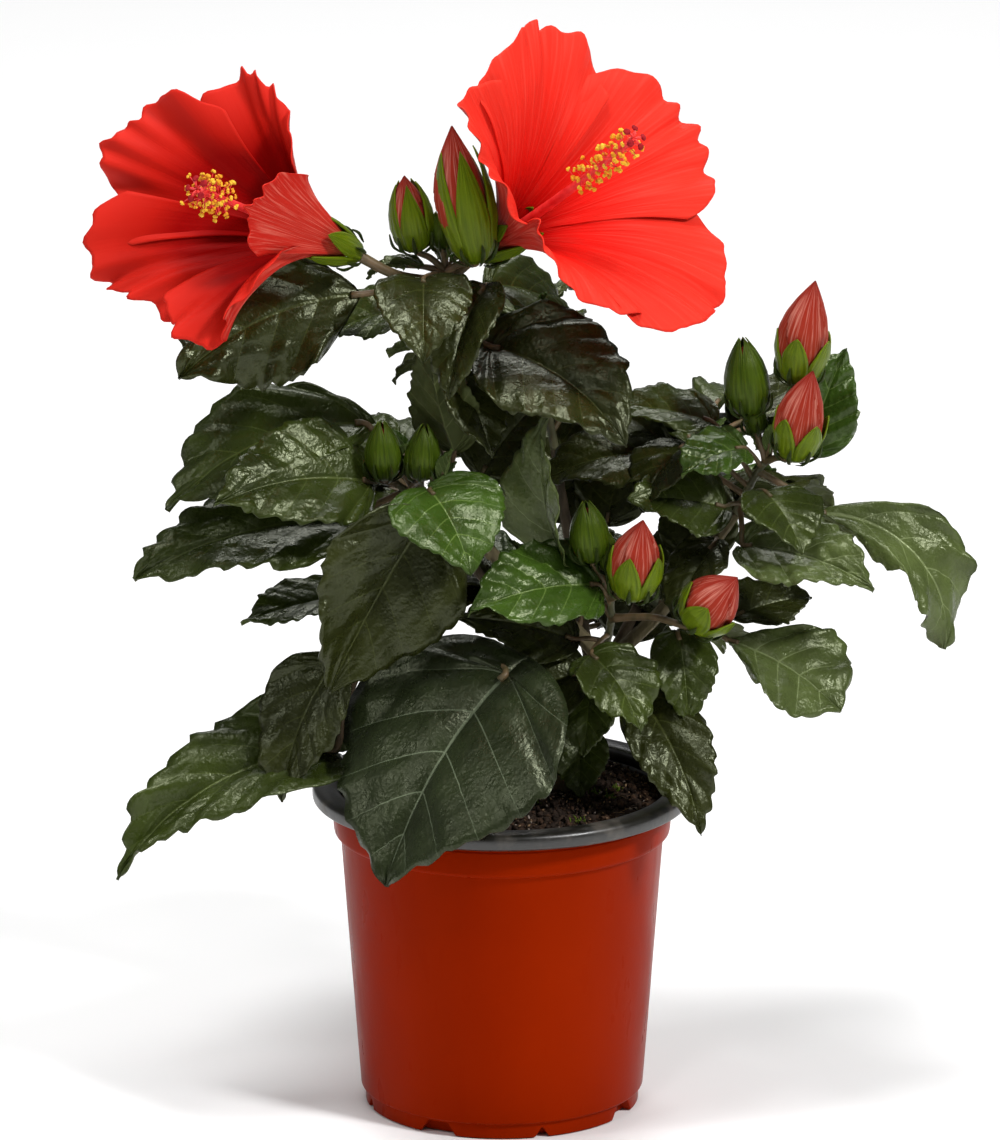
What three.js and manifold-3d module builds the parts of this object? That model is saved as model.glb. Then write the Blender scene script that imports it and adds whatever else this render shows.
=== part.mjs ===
// A potted hibiscus shrub with two open blooms and a dozen buds.
// Millimetres, +Z up, -Y towards the front. The origin is the middle of the pot's flat underside.
import * as THREE from "three";
import { mergeVertices } from "three/addons/utils/BufferGeometryUtils.js";
import Module from "manifold-3d";

const wasm = await Module();
wasm.setup();

const clearance = 0.3; // air between neighbouring nodes
const leafSteps = 5; // stations along a leaf blade
const leafThickness = 0.014; // share of the blade's length
const petalThickness = 1.1;
const petalOverlap = 2.4; // how far the middle of a petal lies behind one edge and before the other
const shortestEdge = 0.01; // a joined solid keeps no edge shorter than this
const seed = 1999; // for the twigs and leaves at the back

const pot = {
  height: 114,
  rimRadius: 65.3,
  lipDepth: 6,
  bandRadius: 59,
  ledgeHeight: 97,
  bodyTopRadius: 55.6,
  bodyFootRadius: 48.4,
  wall: 1.8,
  floor: 4,
  footHeight: 5,
  footInset: 1.2,
  seatRadius: 34,
  grooveRadius: 42,
  sides: 28,
  notches: 8,
  firstNotch: -118,
  wideNotch: [15, 7.5, 4.4],
  narrowNotch: [6.2, 1, 3.2],
};

const soil = {
  edgeHeight: 107,
  crownHeight: 112,
  crownRadius: 34,
};

const trunk = {
  path: [
    [19, -1, 104],
    [21, 0, 114],
    [27, 3, 136],
    [34, 4, 158],
  ],
  footRadius: 3.9,
  tipRadius: 3.0,
  flare: 2.6,
  flareReach: 0.12,
};

// Each bough is one tapering limb from its parent to the foot of the spray that it carries.
const boughs = {
  bough_leader: {
    path: [
      [34, 4, 157],
      [12, 3, 180],
      [-14, 2, 206],
      [-22, 3, 230],
      [-22, 4, 252.5],
    ],
    radius: [2.7, 1.7],
  },
  bough_right: {
    path: [
      [32, 4, 151],
      [56, 4, 175],
      [80, 2, 208.5],
    ],
    radius: [2.5, 1.7],
  },
  bough_centre: {
    path: [
      [31, 4, 150],
      [34, -2, 156],
      [35, -8, 162.5],
    ],
    radius: [2.1, 1.6],
  },
  bough_low_right: {
    path: [
      [30, 4, 145],
      [44, 0, 151],
      [57.5, -4, 159.5],
    ],
    radius: [2.0, 1.5],
  },
  bough_low_left: {
    path: [
      [27, 3, 137],
      [9, -2, 151],
      [-10.5, -8, 161.5],
    ],
    radius: [2.2, 1.6],
  },
  bough_back_left: {
    path: [
      [29, 4, 142],
      [10, 20, 160],
      [-12, 32, 184],
    ],
    radius: [2.2, 1.5],
  },
  bough_back_right: {
    path: [
      [30, 4, 144],
      [44, 20, 165],
      [58, 34, 190],
    ],
    radius: [2.2, 1.5],
  },
  bough_back_top: {
    path: [
      [31, 4, 150],
      [24, 20, 188],
      [18, 24, 226],
    ],
    radius: [2.2, 1.4],
  },
  bough_low_back: {
    path: [
      [25, 2, 130],
      [22, 20, 138],
      [18, 36, 150],
    ],
    radius: [2.0, 1.5],
  },
  bough_front: {
    parent: "bough_leader",
    path: [
      [-12, 2, 204],
      [-15, -4, 209],
      [-17, -8, 213.5],
    ],
    radius: [1.6, 1.3],
  },
  bough_left: {
    parent: "bough_leader",
    path: [
      [-17, 2, 211],
      [-21, 0, 214],
      [-25, -3, 215.6],
    ],
    radius: [1.6, 1.3],
  },
  pruned_stub: {
    path: [
      [28, 4, 139],
      [43, 0, 142],
      [59, -5, 137],
    ],
    radius: [2.4, 2.2],
  },
};

// A leaf or bud leaves its stem at the share "at" of the stem's height. Its stalk turns and rises by
// these angles and is "reach" long; the blade swings on from the stalk's turn, starts at "pitch",
// and droops, rolls and folds by these angles over its length. A low "peak" puts its widest place
// near its base.
const leafDefaults = { swing: 0, droop: 40, roll: 0, fold: 14, peak: 0.62 };
const sprays = {
  top_spray: {
    bough: "bough_leader",
    stem: [
      [-20, 5, 274],
      [-19, 4, 294],
    ],
    leaves: [
      {
        at: 0.76, turn: -162, rise: 6, reach: 30,
        pitch: 2, droop: 46, long: 71, wide: 52, roll: -50, peak: 0.9,
      },
      { at: 0.6, turn: 172, rise: 8, reach: 12, pitch: -5, droop: 30, long: 32, wide: 26, roll: -30 },
      { at: 0.95, turn: -118, rise: 8, reach: 16, swing: 28, pitch: -8, droop: 60, long: 38, wide: 34 },
      { at: 0.85, turn: -43, rise: 8, reach: 18, swing: -74, pitch: -24, droop: 55, long: 44, wide: 30 },
      { at: 0.75, turn: 28, rise: 8, reach: 18, pitch: 4, droop: 40, long: 38, wide: 30, roll: 30 },
      {
        at: 0.45, turn: -29, rise: -8, reach: 19,
        swing: -6, pitch: 0, droop: 50, long: 64, wide: 46, roll: 32,
      },
    ],
    buds: [
      { at: 0.98, turn: -152, rise: 37, reach: 14, pitch: 80, long: 27, wide: 17 },
      { at: 0.98, turn: -57, rise: 20, reach: 20.4, swing: -123, pitch: 80, long: 48, wide: 19 },
      { at: 0.99, turn: -110, rise: 62, reach: 10, pitch: 74, long: 14, wide: 7 },
    ],
  },
  left_spray: {
    bough: "bough_left",
    stem: [
      [-32, -8, 219],
      [-37, -10, 223],
    ],
    leaves: [
      {
        at: 0.3, turn: 160, rise: 51, reach: 30,
        swing: 32, pitch: 7, droop: 57, long: 77, wide: 44, roll: -32, peak: 0.8,
      },
      { at: 0.9, turn: -150, rise: 12, reach: 10, pitch: 18, droop: 36, long: 62, wide: 42, roll: -48 },
      {
        at: 0.6, turn: -176, rise: -30, reach: 21,
        swing: 4, pitch: 6, droop: 38, long: 79, wide: 44, roll: -34,
      },
    ],
    buds: [
      { at: 1, turn: -120, rise: 20, reach: 6, pitch: 84, long: 21, wide: 13 },
      { at: 0.55, turn: -60, rise: 35, reach: 11, pitch: 84, long: 20, wide: 13 },
    ],
  },
  front_spray: {
    bough: "bough_front",
    stem: [
      [-19, -14, 218],
      [-21, -20, 222],
    ],
    leaves: [
      {
        at: 0.97, turn: -120, rise: 20, reach: 8,
        swing: 58, pitch: -14, droop: 45, long: 39, wide: 42, roll: 12,
      },
      {
        at: 0.6, turn: -118, rise: -16, reach: 16,
        swing: -12, pitch: -42, droop: 38, long: 63, wide: 60, roll: -52, fold: 22,
      },
      {
        at: 0.6, turn: 60, rise: 71, reach: 17,
        swing: -213, pitch: 67, droop: -20, long: 42, wide: 29, roll: 40,
      },
      {
        at: 0.2, turn: 40, rise: 29, reach: 16,
        swing: -28, pitch: 60, droop: 20, long: 34, wide: 30, roll: 50,
      },
    ],
    buds: [],
  },
  low_left_spray: {
    bough: "bough_low_left",
    stem: [
      [-33, -13, 165],
      [-52, -15, 160],
    ],
    leaves: [
      {
        at: 0.06, turn: -78, rise: 5, reach: 31,
        swing: -52, pitch: -26, droop: 50, long: 88, wide: 94, roll: -4,
      },
      {
        at: 0.97, turn: -165, rise: 4, reach: 7,
        swing: 22, pitch: -44, droop: 40, long: 52, wide: 34, roll: -24,
      },
      {
        at: 0.9, turn: 172, rise: -72, reach: 34,
        swing: 26, pitch: 0, droop: 52, long: 88, wide: 44, roll: -36, peak: 0.7,
      },
      {
        at: 0.6, turn: 159, rise: 43, reach: 25,
        swing: 31, pitch: -2, droop: 20, long: 38, wide: 29, roll: -16,
      },
    ],
    buds: [],
  },
  centre_spray: {
    bough: "bough_centre",
    stem: [
      [37, -14, 174],
      [37, -20, 185],
    ],
    leaves: [
      {
        at: 0.9, turn: -124, rise: 46, reach: 11,
        swing: -24, pitch: 12, droop: 28, long: 52, wide: 38, roll: -38,
      },
      {
        at: 0.65, turn: -165, rise: 62, reach: 22,
        swing: 180, pitch: 96, droop: -14, long: 58, wide: 36, roll: 30, fold: 42,
      },
      {
        at: 0.3, turn: -110, rise: -8, reach: 18,
        swing: 59, pitch: -14, droop: 50, long: 36, wide: 32, roll: 10,
      },
      {
        at: 0.15, turn: -160, rise: 10, reach: 12,
        swing: -8, pitch: 24, droop: 20, long: 42, wide: 28, roll: -50,
      },
      {
        at: 0.1, turn: -125, rise: -24, reach: 16,
        swing: -40, pitch: -6, droop: 30, long: 46, wide: 34, roll: -44,
      },
      {
        at: 0.05, turn: -112, rise: -30, reach: 13,
        swing: 10, pitch: -40, droop: 36, long: 30, wide: 26, roll: 8,
      },
    ],
    buds: [
      { at: 0.99, turn: -136, rise: 58, reach: 17, pitch: 82, long: 22, wide: 14 },
      { at: 0.99, turn: -58, rise: 12, reach: 13, pitch: 76, long: 30, wide: 18 },
      { at: 0.6, turn: -27, rise: 2, reach: 30, swing: 8, pitch: 48, long: 25, wide: 20 },
      { at: 0.99, turn: -100, rise: 65, reach: 12, pitch: 80, long: 14, wide: 8 },
    ],
  },
  right_spray: {
    bough: "bough_right",
    stem: [
      [85, 0, 220],
      [90, -3, 229],
    ],
    leaves: [
      {
        at: 0.85, turn: -125, rise: 40, reach: 14,
        swing: -22, pitch: 6, droop: 40, long: 27, wide: 26, roll: -20,
      },
      {
        at: 0.9, turn: 23, rise: 9, reach: 17,
        swing: -7, pitch: 74, droop: 10, long: 38, wide: 28, roll: 66,
      },
      { at: 0.3, turn: -57, rise: 18, reach: 13, pitch: -16, droop: 40, long: 29, wide: 32 },
      {
        at: 0.12, turn: -85, rise: -50, reach: 15,
        swing: 58, pitch: 6, droop: 32, long: 51, wide: 34, roll: 32,
      },
      {
        at: 0.75, turn: 10, rise: -33, reach: 24,
        swing: -25, pitch: -6, droop: 76, long: 75, wide: 33, roll: 26,
      },
      {
        at: 0.15, turn: -130, rise: 5, reach: 9,
        swing: -30, pitch: 20, droop: 20, long: 36, wide: 34, roll: -40,
      },
      {
        at: 0.6, turn: 158, rise: 51, reach: 24,
        swing: 15, pitch: 20, droop: 25, long: 36, wide: 26, roll: -20,
      },
      { at: 0.45, turn: 178, rise: 35, reach: 26, swing: 47, pitch: -13, droop: 60, long: 31, wide: 28 },
      {
        at: 0.3, turn: 170, rise: 26, reach: 30,
        swing: 4, pitch: 6, droop: 40, long: 46, wide: 34, roll: -30,
      },
    ],
    buds: [
      { at: 0.98, turn: 200, rise: 70, reach: 17.5, pitch: 84, long: 27.5, wide: 16 },
      { at: 0.99, turn: -18, rise: 69, reach: 29.5, pitch: 80, long: 37, wide: 19 },
      { at: 0.98, turn: -46, rise: 12, reach: 13, pitch: 74, long: 34, wide: 17 },
      { at: 0.99, turn: 190, rise: 72, reach: 10, pitch: 82, long: 13, wide: 8 },
    ],
  },
  low_right_spray: {
    bough: "bough_low_right",
    stem: [
      [64, -8, 166],
      [70, -10, 171],
    ],
    leaves: [
      {
        at: 0.95, turn: -14, rise: -57, reach: 18,
        swing: -7, pitch: 18, droop: 38, long: 49, wide: 37, roll: 36, peak: 1,
      },
      {
        at: 0.8, turn: 45, rise: 19, reach: 23,
        swing: -16, pitch: 14, droop: 15, long: 27, wide: 24, roll: 20,
      },
      { at: 0.5, turn: -121, rise: 38, reach: 9, swing: 44, pitch: -37, droop: 50, long: 34, wide: 24 },
      {
        at: 0.12, turn: -132, rise: -32, reach: 22,
        swing: 78, pitch: -26, droop: 46, long: 56, wide: 29, roll: 26,
      },
    ],
    buds: [],
  },
};

// Sprays at the back, which the seeded rule fills: the leaves turn by the golden angle up the stem.
const goldenAngle = 137.5;
const backTries = 70;
const leafSpacing = 17; // between the middles and tips of the blades
const backSprays = {
  back_left_spray: {
    bough: "bough_back_left",
    stem: [
      [-24, 42, 196],
      [-30, 44, 214],
    ],
    count: 10,
    space: { low: [-98, 12, 132], high: [20, 105, 226] },
  },
  back_top_spray: {
    bough: "bough_back_top",
    stem: [
      [14, 26, 248],
      [10, 24, 266],
    ],
    count: 10,
    space: { low: [-40, 14, 196], high: [66, 88, 278] },
  },
  back_right_spray: {
    bough: "bough_back_right",
    stem: [
      [66, 40, 206],
      [70, 42, 222],
    ],
    count: 9,
    space: { low: [34, 12, 132], high: [122, 105, 236] },
  },
  low_back_spray: {
    bough: "bough_low_back",
    stem: [
      [14, 52, 160],
      [12, 62, 170],
    ],
    count: 7,
    space: { low: [-70, 44, 118], high: [90, 110, 182] },
  },
};

// The blooms: where the calyx sits and which way the bloom faces. Each petal gives its rim at five
// places from edge to edge: the turn round the bloom's axis, the distance from it and the distance forward.
const blooms = {
  bloom_left: {
    stalk: [
      [-21.6, 3, 290],
      [-36, -4, 294],
      [-51, -8, 303],
    ],
    facing: [-0.6, -0.68, 0.42],
    columnLength: 80,
    spreading: 1.8,
    petals: [
      { rim: [[64, 18, 37], [83, 30, 43], [94, 51, 47], [104, 54, 50], [134, 49, 59]] },
      { rim: [[106, 45, 56], [131, 57, 64], [148, 60, 66], [166, 56, 66], [188, 50, 69]] },
      { rim: [[164, 51, 69], [190, 60, 70], [204, 52, 64], [222, 47, 60], [244, 46, 56]] },
      { rim: [[216, 43, 62], [238, 44, 60], [252, 43, 56], [264, 30, 60], [296, 18, 52]] },
      { rim: [[-80, 18, 55], [-52, 10, 63], [-12, 9, 67], [25, 13, 62], [56, 20, 42]], spreading: 1 },
    ],
  },
  bloom_right: {
    stalk: [
      [-16.6, 4.8, 291],
      [-12, 6, 295],
      [-6, 6, 300],
    ],
    facing: [0.59, -0.58, 0.56],
    columnLength: 84,
    spreading: 1.6,
    petals: [
      { rim: [[0, 49, 58], [22, 55, 60], [40, 57, 60], [58, 57, 58], [88, 50, 54]] },
      { rim: [[72, 46, 52], [92, 57, 55], [108, 59, 56], [124, 54, 54], [144, 47, 49]] },
      { rim: [[134, 49, 50], [152, 46, 43], [170, 31, 45], [192, 22, 48], [228, 16, 42]] },
      { rim: [[-134, 17, 40], [-114, 20, 43], [-92, 34, 48], [-74, 46, 54], [-52, 54, 56]] },
      { rim: [[-68, 51, 55], [-50, 60, 58], [-34, 62, 62], [-17, 59, 63], [8, 51, 60]] },
    ],
  },
};

const finish = {
  potPlastic: { color: 0xb4380f, roughness: 0.38, metalness: 0 },
  rimPlastic: { color: 0x1d1c20, roughness: 0.4, metalness: 0 },
  soil: { color: 0x241812, roughness: 0.95, metalness: 0 },
  bark: { color: 0x7a6650, roughness: 0.8, metalness: 0 },
  foliage: { color: 0x2f4424, roughness: 0.4, metalness: 0 },
  bloom: { color: 0xe3241a, roughness: 0.6, metalness: 0 },
};

// ---- Helpers ----

const radians = THREE.MathUtils.degToRad;
const vector = (point) => new THREE.Vector3(...point);

// A closed geometry as a manifold solid that faces outwards.
function solidOf(geometry) {
  geometry.deleteAttribute("normal");
  geometry.deleteAttribute("uv");
  const merged = mergeVertices(geometry, 1e-4);
  const corners = merged.index.array;
  const triangles = [];
  for (let i = 0; i < corners.length; i += 3) {
    const [a, b, c] = corners.slice(i, i + 3);
    if (a !== b && b !== c && c !== a) triangles.push(a, b, c);
  }
  const vertProperties = merged.attributes.position.array;
  const build = (order) =>
    new wasm.Manifold(new wasm.Mesh({ numProp: 3, vertProperties, triVerts: new Uint32Array(order) }));
  const solid = build(triangles);
  return solid.volume() > 0 ? solid : build(triangles.reverse());
}

// Moves every vertex of a geometry to the place that a rule gives for it.
function shaped(geometry, placeOf) {
  const position = geometry.attributes.position;
  for (let i = 0; i < position.count; i++) {
    const place = placeOf(position.getX(i), position.getY(i), position.getZ(i));
    position.setXYZ(i, place.x, place.y, place.z);
  }
  return solidOf(geometry);
}

// The union of the solids as one body: a hollow that it seals is filled, and loose scraps are dropped.
function joined(solids) {
  const whole = solids.reduce((sum, solid) => sum.add(solid)).simplify(shortestEdge);
  const bodies = whole.decompose();
  return bodies.reduce((largest, body) => (body.volume() > largest.volume() ? body : largest));
}

function seededRandom(start) {
  let state = start;
  return () => {
    state = (state * 1664525 + 1013904223) % 4294967296;
    return state / 4294967296;
  };
}

// A solid turned about the Z axis from a list of [radius, height] points.
function turned(points, sides) {
  const profile = points.map(([radius, height]) => new THREE.Vector2(radius, height));
  const geometry = new THREE.LatheGeometry(profile, sides);
  geometry.rotateX(Math.PI / 2);
  return solidOf(geometry);
}

// A tapering limb along a smooth curve through the points. radiusAt gives its radius at a share of
// its length.
function limb(points, radiusAt, sides, steps) {
  const curve = new THREE.CatmullRomCurve3(points.map(vector));
  const frames = curve.computeFrenetFrames(steps);
  const profile = [new THREE.Vector2(0, 0)];
  for (let i = 0; i <= steps; i++) profile.push(new THREE.Vector2(1, i / steps));
  profile.push(new THREE.Vector2(0, 1));
  return shaped(new THREE.LatheGeometry(profile, sides), (x, share, z) => {
    const step = Math.round(share * steps);
    const radius = radiusAt(share);
    return curve
      .getPointAt(share)
      .addScaledVector(frames.normals[step], x * radius)
      .addScaledVector(frames.binormals[step], z * radius);
  });
}

const taper = (from, to) => (share) => from + (to - from) * share;

// ---- Pot and soil ----

function potRadius(height) {
  return pot.bodyFootRadius + ((pot.bodyTopRadius - pot.bodyFootRadius) * height) / pot.ledgeHeight;
}

function makePot() {
  const bandTop = pot.height - pot.lipDepth - clearance;
  const foot = pot.bodyFootRadius - pot.footInset;
  const shell = turned(
    [
      [0, 0],
      [pot.seatRadius, 0],
      [pot.seatRadius + 2, pot.footHeight - 1.5],
      [pot.grooveRadius - 1, pot.footHeight - 1.5],
      [pot.grooveRadius, 0],
      [foot, 0],
      [foot, pot.footHeight],
      [potRadius(pot.footHeight), pot.footHeight + 1],
      [potRadius(pot.ledgeHeight), pot.ledgeHeight - 0.6],
      [pot.bandRadius - 1.2, pot.ledgeHeight],
      [pot.bandRadius, bandTop],
      [pot.bandRadius - pot.wall, bandTop],
      [pot.bandRadius - 1.2 - pot.wall, pot.ledgeHeight + pot.wall],
      [potRadius(pot.ledgeHeight) - pot.wall, pot.ledgeHeight - 0.6],
      [potRadius(pot.floor) - pot.wall, pot.footHeight + pot.floor],
      [0, pot.footHeight + pot.floor],
    ],
    pot.sides,
  );
  return cutNotches(shell);
}

// Drain notches through the foot ring: wide and narrow ones in turn, each a wedge that narrows upwards.
function cutNotches(shell) {
  let cut = shell;
  for (let i = 0; i < pot.notches; i++) {
    const [bottom, top, height] = i % 2 ? pot.narrowNotch : pot.wideNotch;
    const wedge = new THREE.Shape();
    wedge.moveTo(-bottom / 2, -1);
    wedge.lineTo(bottom / 2, -1);
    wedge.lineTo(top / 2, height);
    wedge.lineTo(-top / 2, height);
    wedge.closePath();
    const block = new THREE.ExtrudeGeometry(wedge, { depth: 12, bevelEnabled: false });
    block.rotateX(Math.PI / 2);
    block.translate(0, pot.bodyFootRadius + 3, 0);
    block.rotateZ(radians(pot.firstNotch - 90 + (i * 360) / pot.notches));
    cut = cut.subtract(solidOf(block));
  }
  return cut;
}

// The rolled lip: a ring that sits on the band and turns down over it.
function makeRim() {
  const bottom = pot.height - pot.lipDepth;
  return turned(
    [
      [pot.bandRadius - 2, bottom],
      [pot.rimRadius - 1, bottom],
      [pot.rimRadius, bottom + 1.2],
      [pot.rimRadius, pot.height - 1.6],
      [pot.rimRadius - 1.4, pot.height],
      [pot.rimRadius - 3.4, pot.height],
      [pot.rimRadius - 5, pot.height - 1.6],
      [pot.bandRadius - 2, bottom + 1],
      [pot.bandRadius - 2, bottom],
    ],
    pot.sides,
  );
}

function makeSoil() {
  const gap = pot.wall + clearance + 0.1;
  const floor = pot.footHeight + pot.floor + clearance;
  return turned(
    [
      [0, floor],
      [potRadius(pot.floor) - gap - 0.4, floor],
      [potRadius(pot.ledgeHeight) - gap, pot.ledgeHeight - 1.2],
      [potRadius(pot.ledgeHeight) - gap, soil.edgeHeight - 2],
      [potRadius(pot.ledgeHeight) - gap - 2, soil.edgeHeight],
      [soil.crownRadius, soil.crownHeight],
      [0, soil.crownHeight],
    ],
    pot.sides,
  );
}

// ---- Trunk and boughs ----

function trunkSolid(extra) {
  const radiusAt = (share) =>
    taper(trunk.footRadius, trunk.tipRadius)(share) +
    trunk.flare * Math.exp(-Math.max(share - 0.15, 0) / trunk.flareReach) +
    extra;
  return limb(trunk.path, radiusAt, 10, 9);
}

function makeTrunk() {
  const ground = new THREE.BoxGeometry(60, 60, 40);
  ground.translate(trunk.path[0][0], 0, soil.crownHeight + clearance - 20);
  return trunkSolid(0).subtract(solidOf(ground));
}

function boughSolid(bough, extra) {
  const [from, to] = bough.radius;
  return limb(bough.path, taper(from + extra, to + extra), 6, 2 * bough.path.length - 2);
}

// A bough is cut to sit against its parent's bark.
function makeBough(bough) {
  const parent = bough.parent ? boughSolid(boughs[bough.parent], clearance) : trunkSolid(clearance);
  return boughSolid(bough, 0).subtract(parent);
}

// ---- Leaves, buds and sprays ----

// Half the blade's width at a share of its length: broad near the base, drawn out to a point.
function bladeHalfWidth(share, leaf) {
  return Math.max((leaf.wide / 2) * Math.sin(Math.PI * share ** leaf.peak) ** 0.85, 0.7);
}

function direction(turn, pitch) {
  const [a, b] = [radians(turn), radians(pitch)];
  return new THREE.Vector3(Math.cos(b) * Math.cos(a), Math.cos(b) * Math.sin(a), Math.sin(b));
}

// A point of the midrib, and the blade's side and normal there. The midrib is an arc that droops.
function midribAt(base, heading, leaf, share) {
  const bend = radians(leaf.droop || 0.01);
  const start = radians(leaf.pitch);
  const now = start - bend * share;
  const out = (leaf.long / bend) * (Math.sin(start) - Math.sin(now));
  const up = (leaf.long / bend) * (Math.cos(now) - Math.cos(start));
  const flat = direction(heading, 0);
  const point = base.clone().addScaledVector(flat, out);
  point.z += up;
  const along = direction(heading, THREE.MathUtils.radToDeg(now));
  const level = new THREE.Vector3(-flat.y, flat.x, 0);
  const upright = along.clone().cross(level);
  const roll = radians(leaf.roll);
  const side = level.clone().multiplyScalar(Math.cos(roll)).addScaledVector(upright, Math.sin(roll));
  const normal = upright.multiplyScalar(Math.cos(roll)).addScaledVector(level, -Math.sin(roll));
  return { point, side, normal };
}

function makeBlade(base, heading, leaf) {
  const fold = radians(leaf.fold);
  const thickness = leaf.long * leafThickness;
  return shaped(new THREE.BoxGeometry(2, 1, 1, 2, leafSteps, 1), (across, along, layer) => {
    const share = along + 0.5;
    const { point, side, normal } = midribAt(base, heading, leaf, share);
    const reach = bladeHalfWidth(share, leaf) * across;
    return point
      .addScaledVector(side, reach * Math.cos(fold))
      .addScaledVector(normal, Math.abs(reach) * Math.sin(fold) + layer * thickness);
  });
}

// Where blades already are, so that the seeded leaves keep clear of them.
const takenPoints = [];

function stalkEnd(start, part) {
  return start.clone().addScaledVector(direction(part.turn, part.rise), part.reach);
}

// A stalk from the stem to a little way inside what it carries.
function makeStalk(start, end, into, radius) {
  const middle = start.clone().lerp(end, 0.55);
  middle.z += start.distanceTo(end) * 0.06;
  const points = [start, middle, end, into].map((point) => point.toArray());
  return limb(points, taper(radius * 1.25, radius), 3, 2);
}

function makeLeaf(start, leaf) {
  const base = stalkEnd(start, leaf);
  const heading = leaf.turn + leaf.swing;
  const into = midribAt(base, heading, leaf, 3.5 / leaf.long).point;
  return [makeStalk(start, base, into, 0.6 + leaf.long / 160), makeBlade(base, heading, leaf)];
}

// A closed bud: its calyx swells above the stalk and draws in to the furled petals' tip.
function makeBud(start, bud) {
  const base = stalkEnd(start, bud);
  const axis = direction(bud.turn + (bud.swing || 0), bud.pitch);
  const profile = [
    [0, 0],
    [0.28, 0.04],
    [0.5, 0.3],
    [0.4, 0.66],
    [0.14, 0.92],
    [0, 1],
  ].map(([radius, height]) => new THREE.Vector2(radius * bud.wide, height * bud.long));
  const body = new THREE.LatheGeometry(profile, 6);
  body.applyQuaternion(new THREE.Quaternion().setFromUnitVectors(new THREE.Vector3(0, 1, 0), axis));
  body.translate(base.x, base.y, base.z);
  const into = base.clone().addScaledVector(axis, bud.long * 0.15);
  return [makeStalk(start, base, into, 0.75 + bud.wide / 40), solidOf(body)];
}

// A spray's stem grows on from its bough's tip, with the clearance between them.
function stemPath(spray) {
  const tip = vector(boughs[spray.bough].path.at(-1));
  const next = vector(spray.stem[0]);
  const foot = tip.addScaledVector(next.sub(tip).normalize(), 2 * clearance);
  return [foot.toArray(), ...spray.stem];
}

function makeSpray(spray) {
  const path = stemPath(spray);
  const stem = new THREE.CatmullRomCurve3(path.map(vector));
  const parts = [limb(path, taper(1.5, 1.1), 5, 4)];
  for (const own of spray.leaves) {
    const leaf = { ...leafDefaults, ...own };
    const start = stem.getPointAt(leaf.at);
    parts.push(...makeLeaf(start, leaf));
    takenPoints.push(...bladePoints(start, leaf));
  }
  for (const bud of spray.buds) parts.push(...makeBud(stem.getPointAt(bud.at), bud));
  return joined(parts);
}

// The middle and the tip of a leaf's blade.
function bladePoints(start, leaf) {
  const base = stalkEnd(start, leaf);
  return [0.5, 1].map((share) => midribAt(base, leaf.turn + leaf.swing, leaf, share).point);
}

// The seeded leaves of a back spray. One that would leave the spray's space, or come too near a leaf
// that is there already, is skipped.
function grownLeaves(spray, random) {
  const stem = new THREE.CatmullRomCurve3(stemPath(spray).map(vector));
  const { low, high } = spray.space;
  const inside = (p) => p.toArray().every((value, axis) => value > low[axis] && value < high[axis]);
  const clear = (p) => takenPoints.every((other) => p.distanceTo(other) > leafSpacing);
  const leaves = [];
  for (let i = 0; i < backTries && leaves.length < spray.count; i++) {
    const at = 0.08 + 0.9 * ((i * 0.618) % 1);
    const leaf = {
      ...leafDefaults,
      at,
      turn: (i * goldenAngle + 60 * random()) % 360,
      rise: 10 + 30 * random(),
      reach: 12 + 14 * random(),
      pitch: 14 * random() - 6 + 24 * at,
      droop: 36 + 28 * random(),
      long: 44 + 26 * random(),
      roll: 30 * random() - 15,
      fold: 10 + 12 * random(),
    };
    leaf.wide = leaf.long * (0.56 + 0.14 * random());
    const points = bladePoints(stem.getPointAt(at), leaf);
    if (points.every(inside) && points.every(clear)) {
      leaves.push(leaf);
      takenPoints.push(...points);
    }
  }
  return leaves;
}

// ---- Blooms ----

// A point of a petal at a share of its length and of its half width. The petals form a funnel that
// flares out to their rims, with one edge of each petal over its neighbour.
function petalPoint(bloom, petal, frame, share, across) {
  const rim = new THREE.CatmullRomCurve3(petal.rim.map(vector), false, "catmullrom", 0.5);
  const [turn, rimRadius, rimForward] = rim.getPoint((across + 1) / 2).toArray();
  const reach = share * (1 - 0.01 * across ** 2 - 0.07 * across ** 6);
  const radius = 3 + (rimRadius - 3) * reach ** (petal.spreading || bloom.spreading);
  const forward = 6 + ((rimForward - 6) * (reach - 0.18 * reach ** 4)) / 0.82;
  const middle = (petal.rim[0][0] + petal.rim[4][0]) / 2;
  const angle = radians(middle + (turn - middle) * (0.78 + 0.22 * Math.min(reach * 2.5, 1)));
  const radial = frame.right
    .clone()
    .multiplyScalar(Math.cos(angle))
    .addScaledVector(frame.up, Math.sin(angle));
  return frame.foot
    .clone()
    .addScaledVector(frame.axis, forward - petalOverlap * across)
    .addScaledVector(radial, radius);
}

function makePetal(bloom, petal, frame) {
  return shaped(new THREE.BoxGeometry(2, 1, 1, 4, 5, 1), (across, along, layer) => {
    const share = along + 0.5;
    const point = petalPoint(bloom, petal, frame, share, across);
    const ahead = petalPoint(bloom, petal, frame, share + 0.01, across).sub(point);
    const aside = petalPoint(bloom, petal, frame, share, across + 0.01).sub(point);
    return point.addScaledVector(ahead.cross(aside).normalize(), layer * petalThickness);
  });
}

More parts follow.
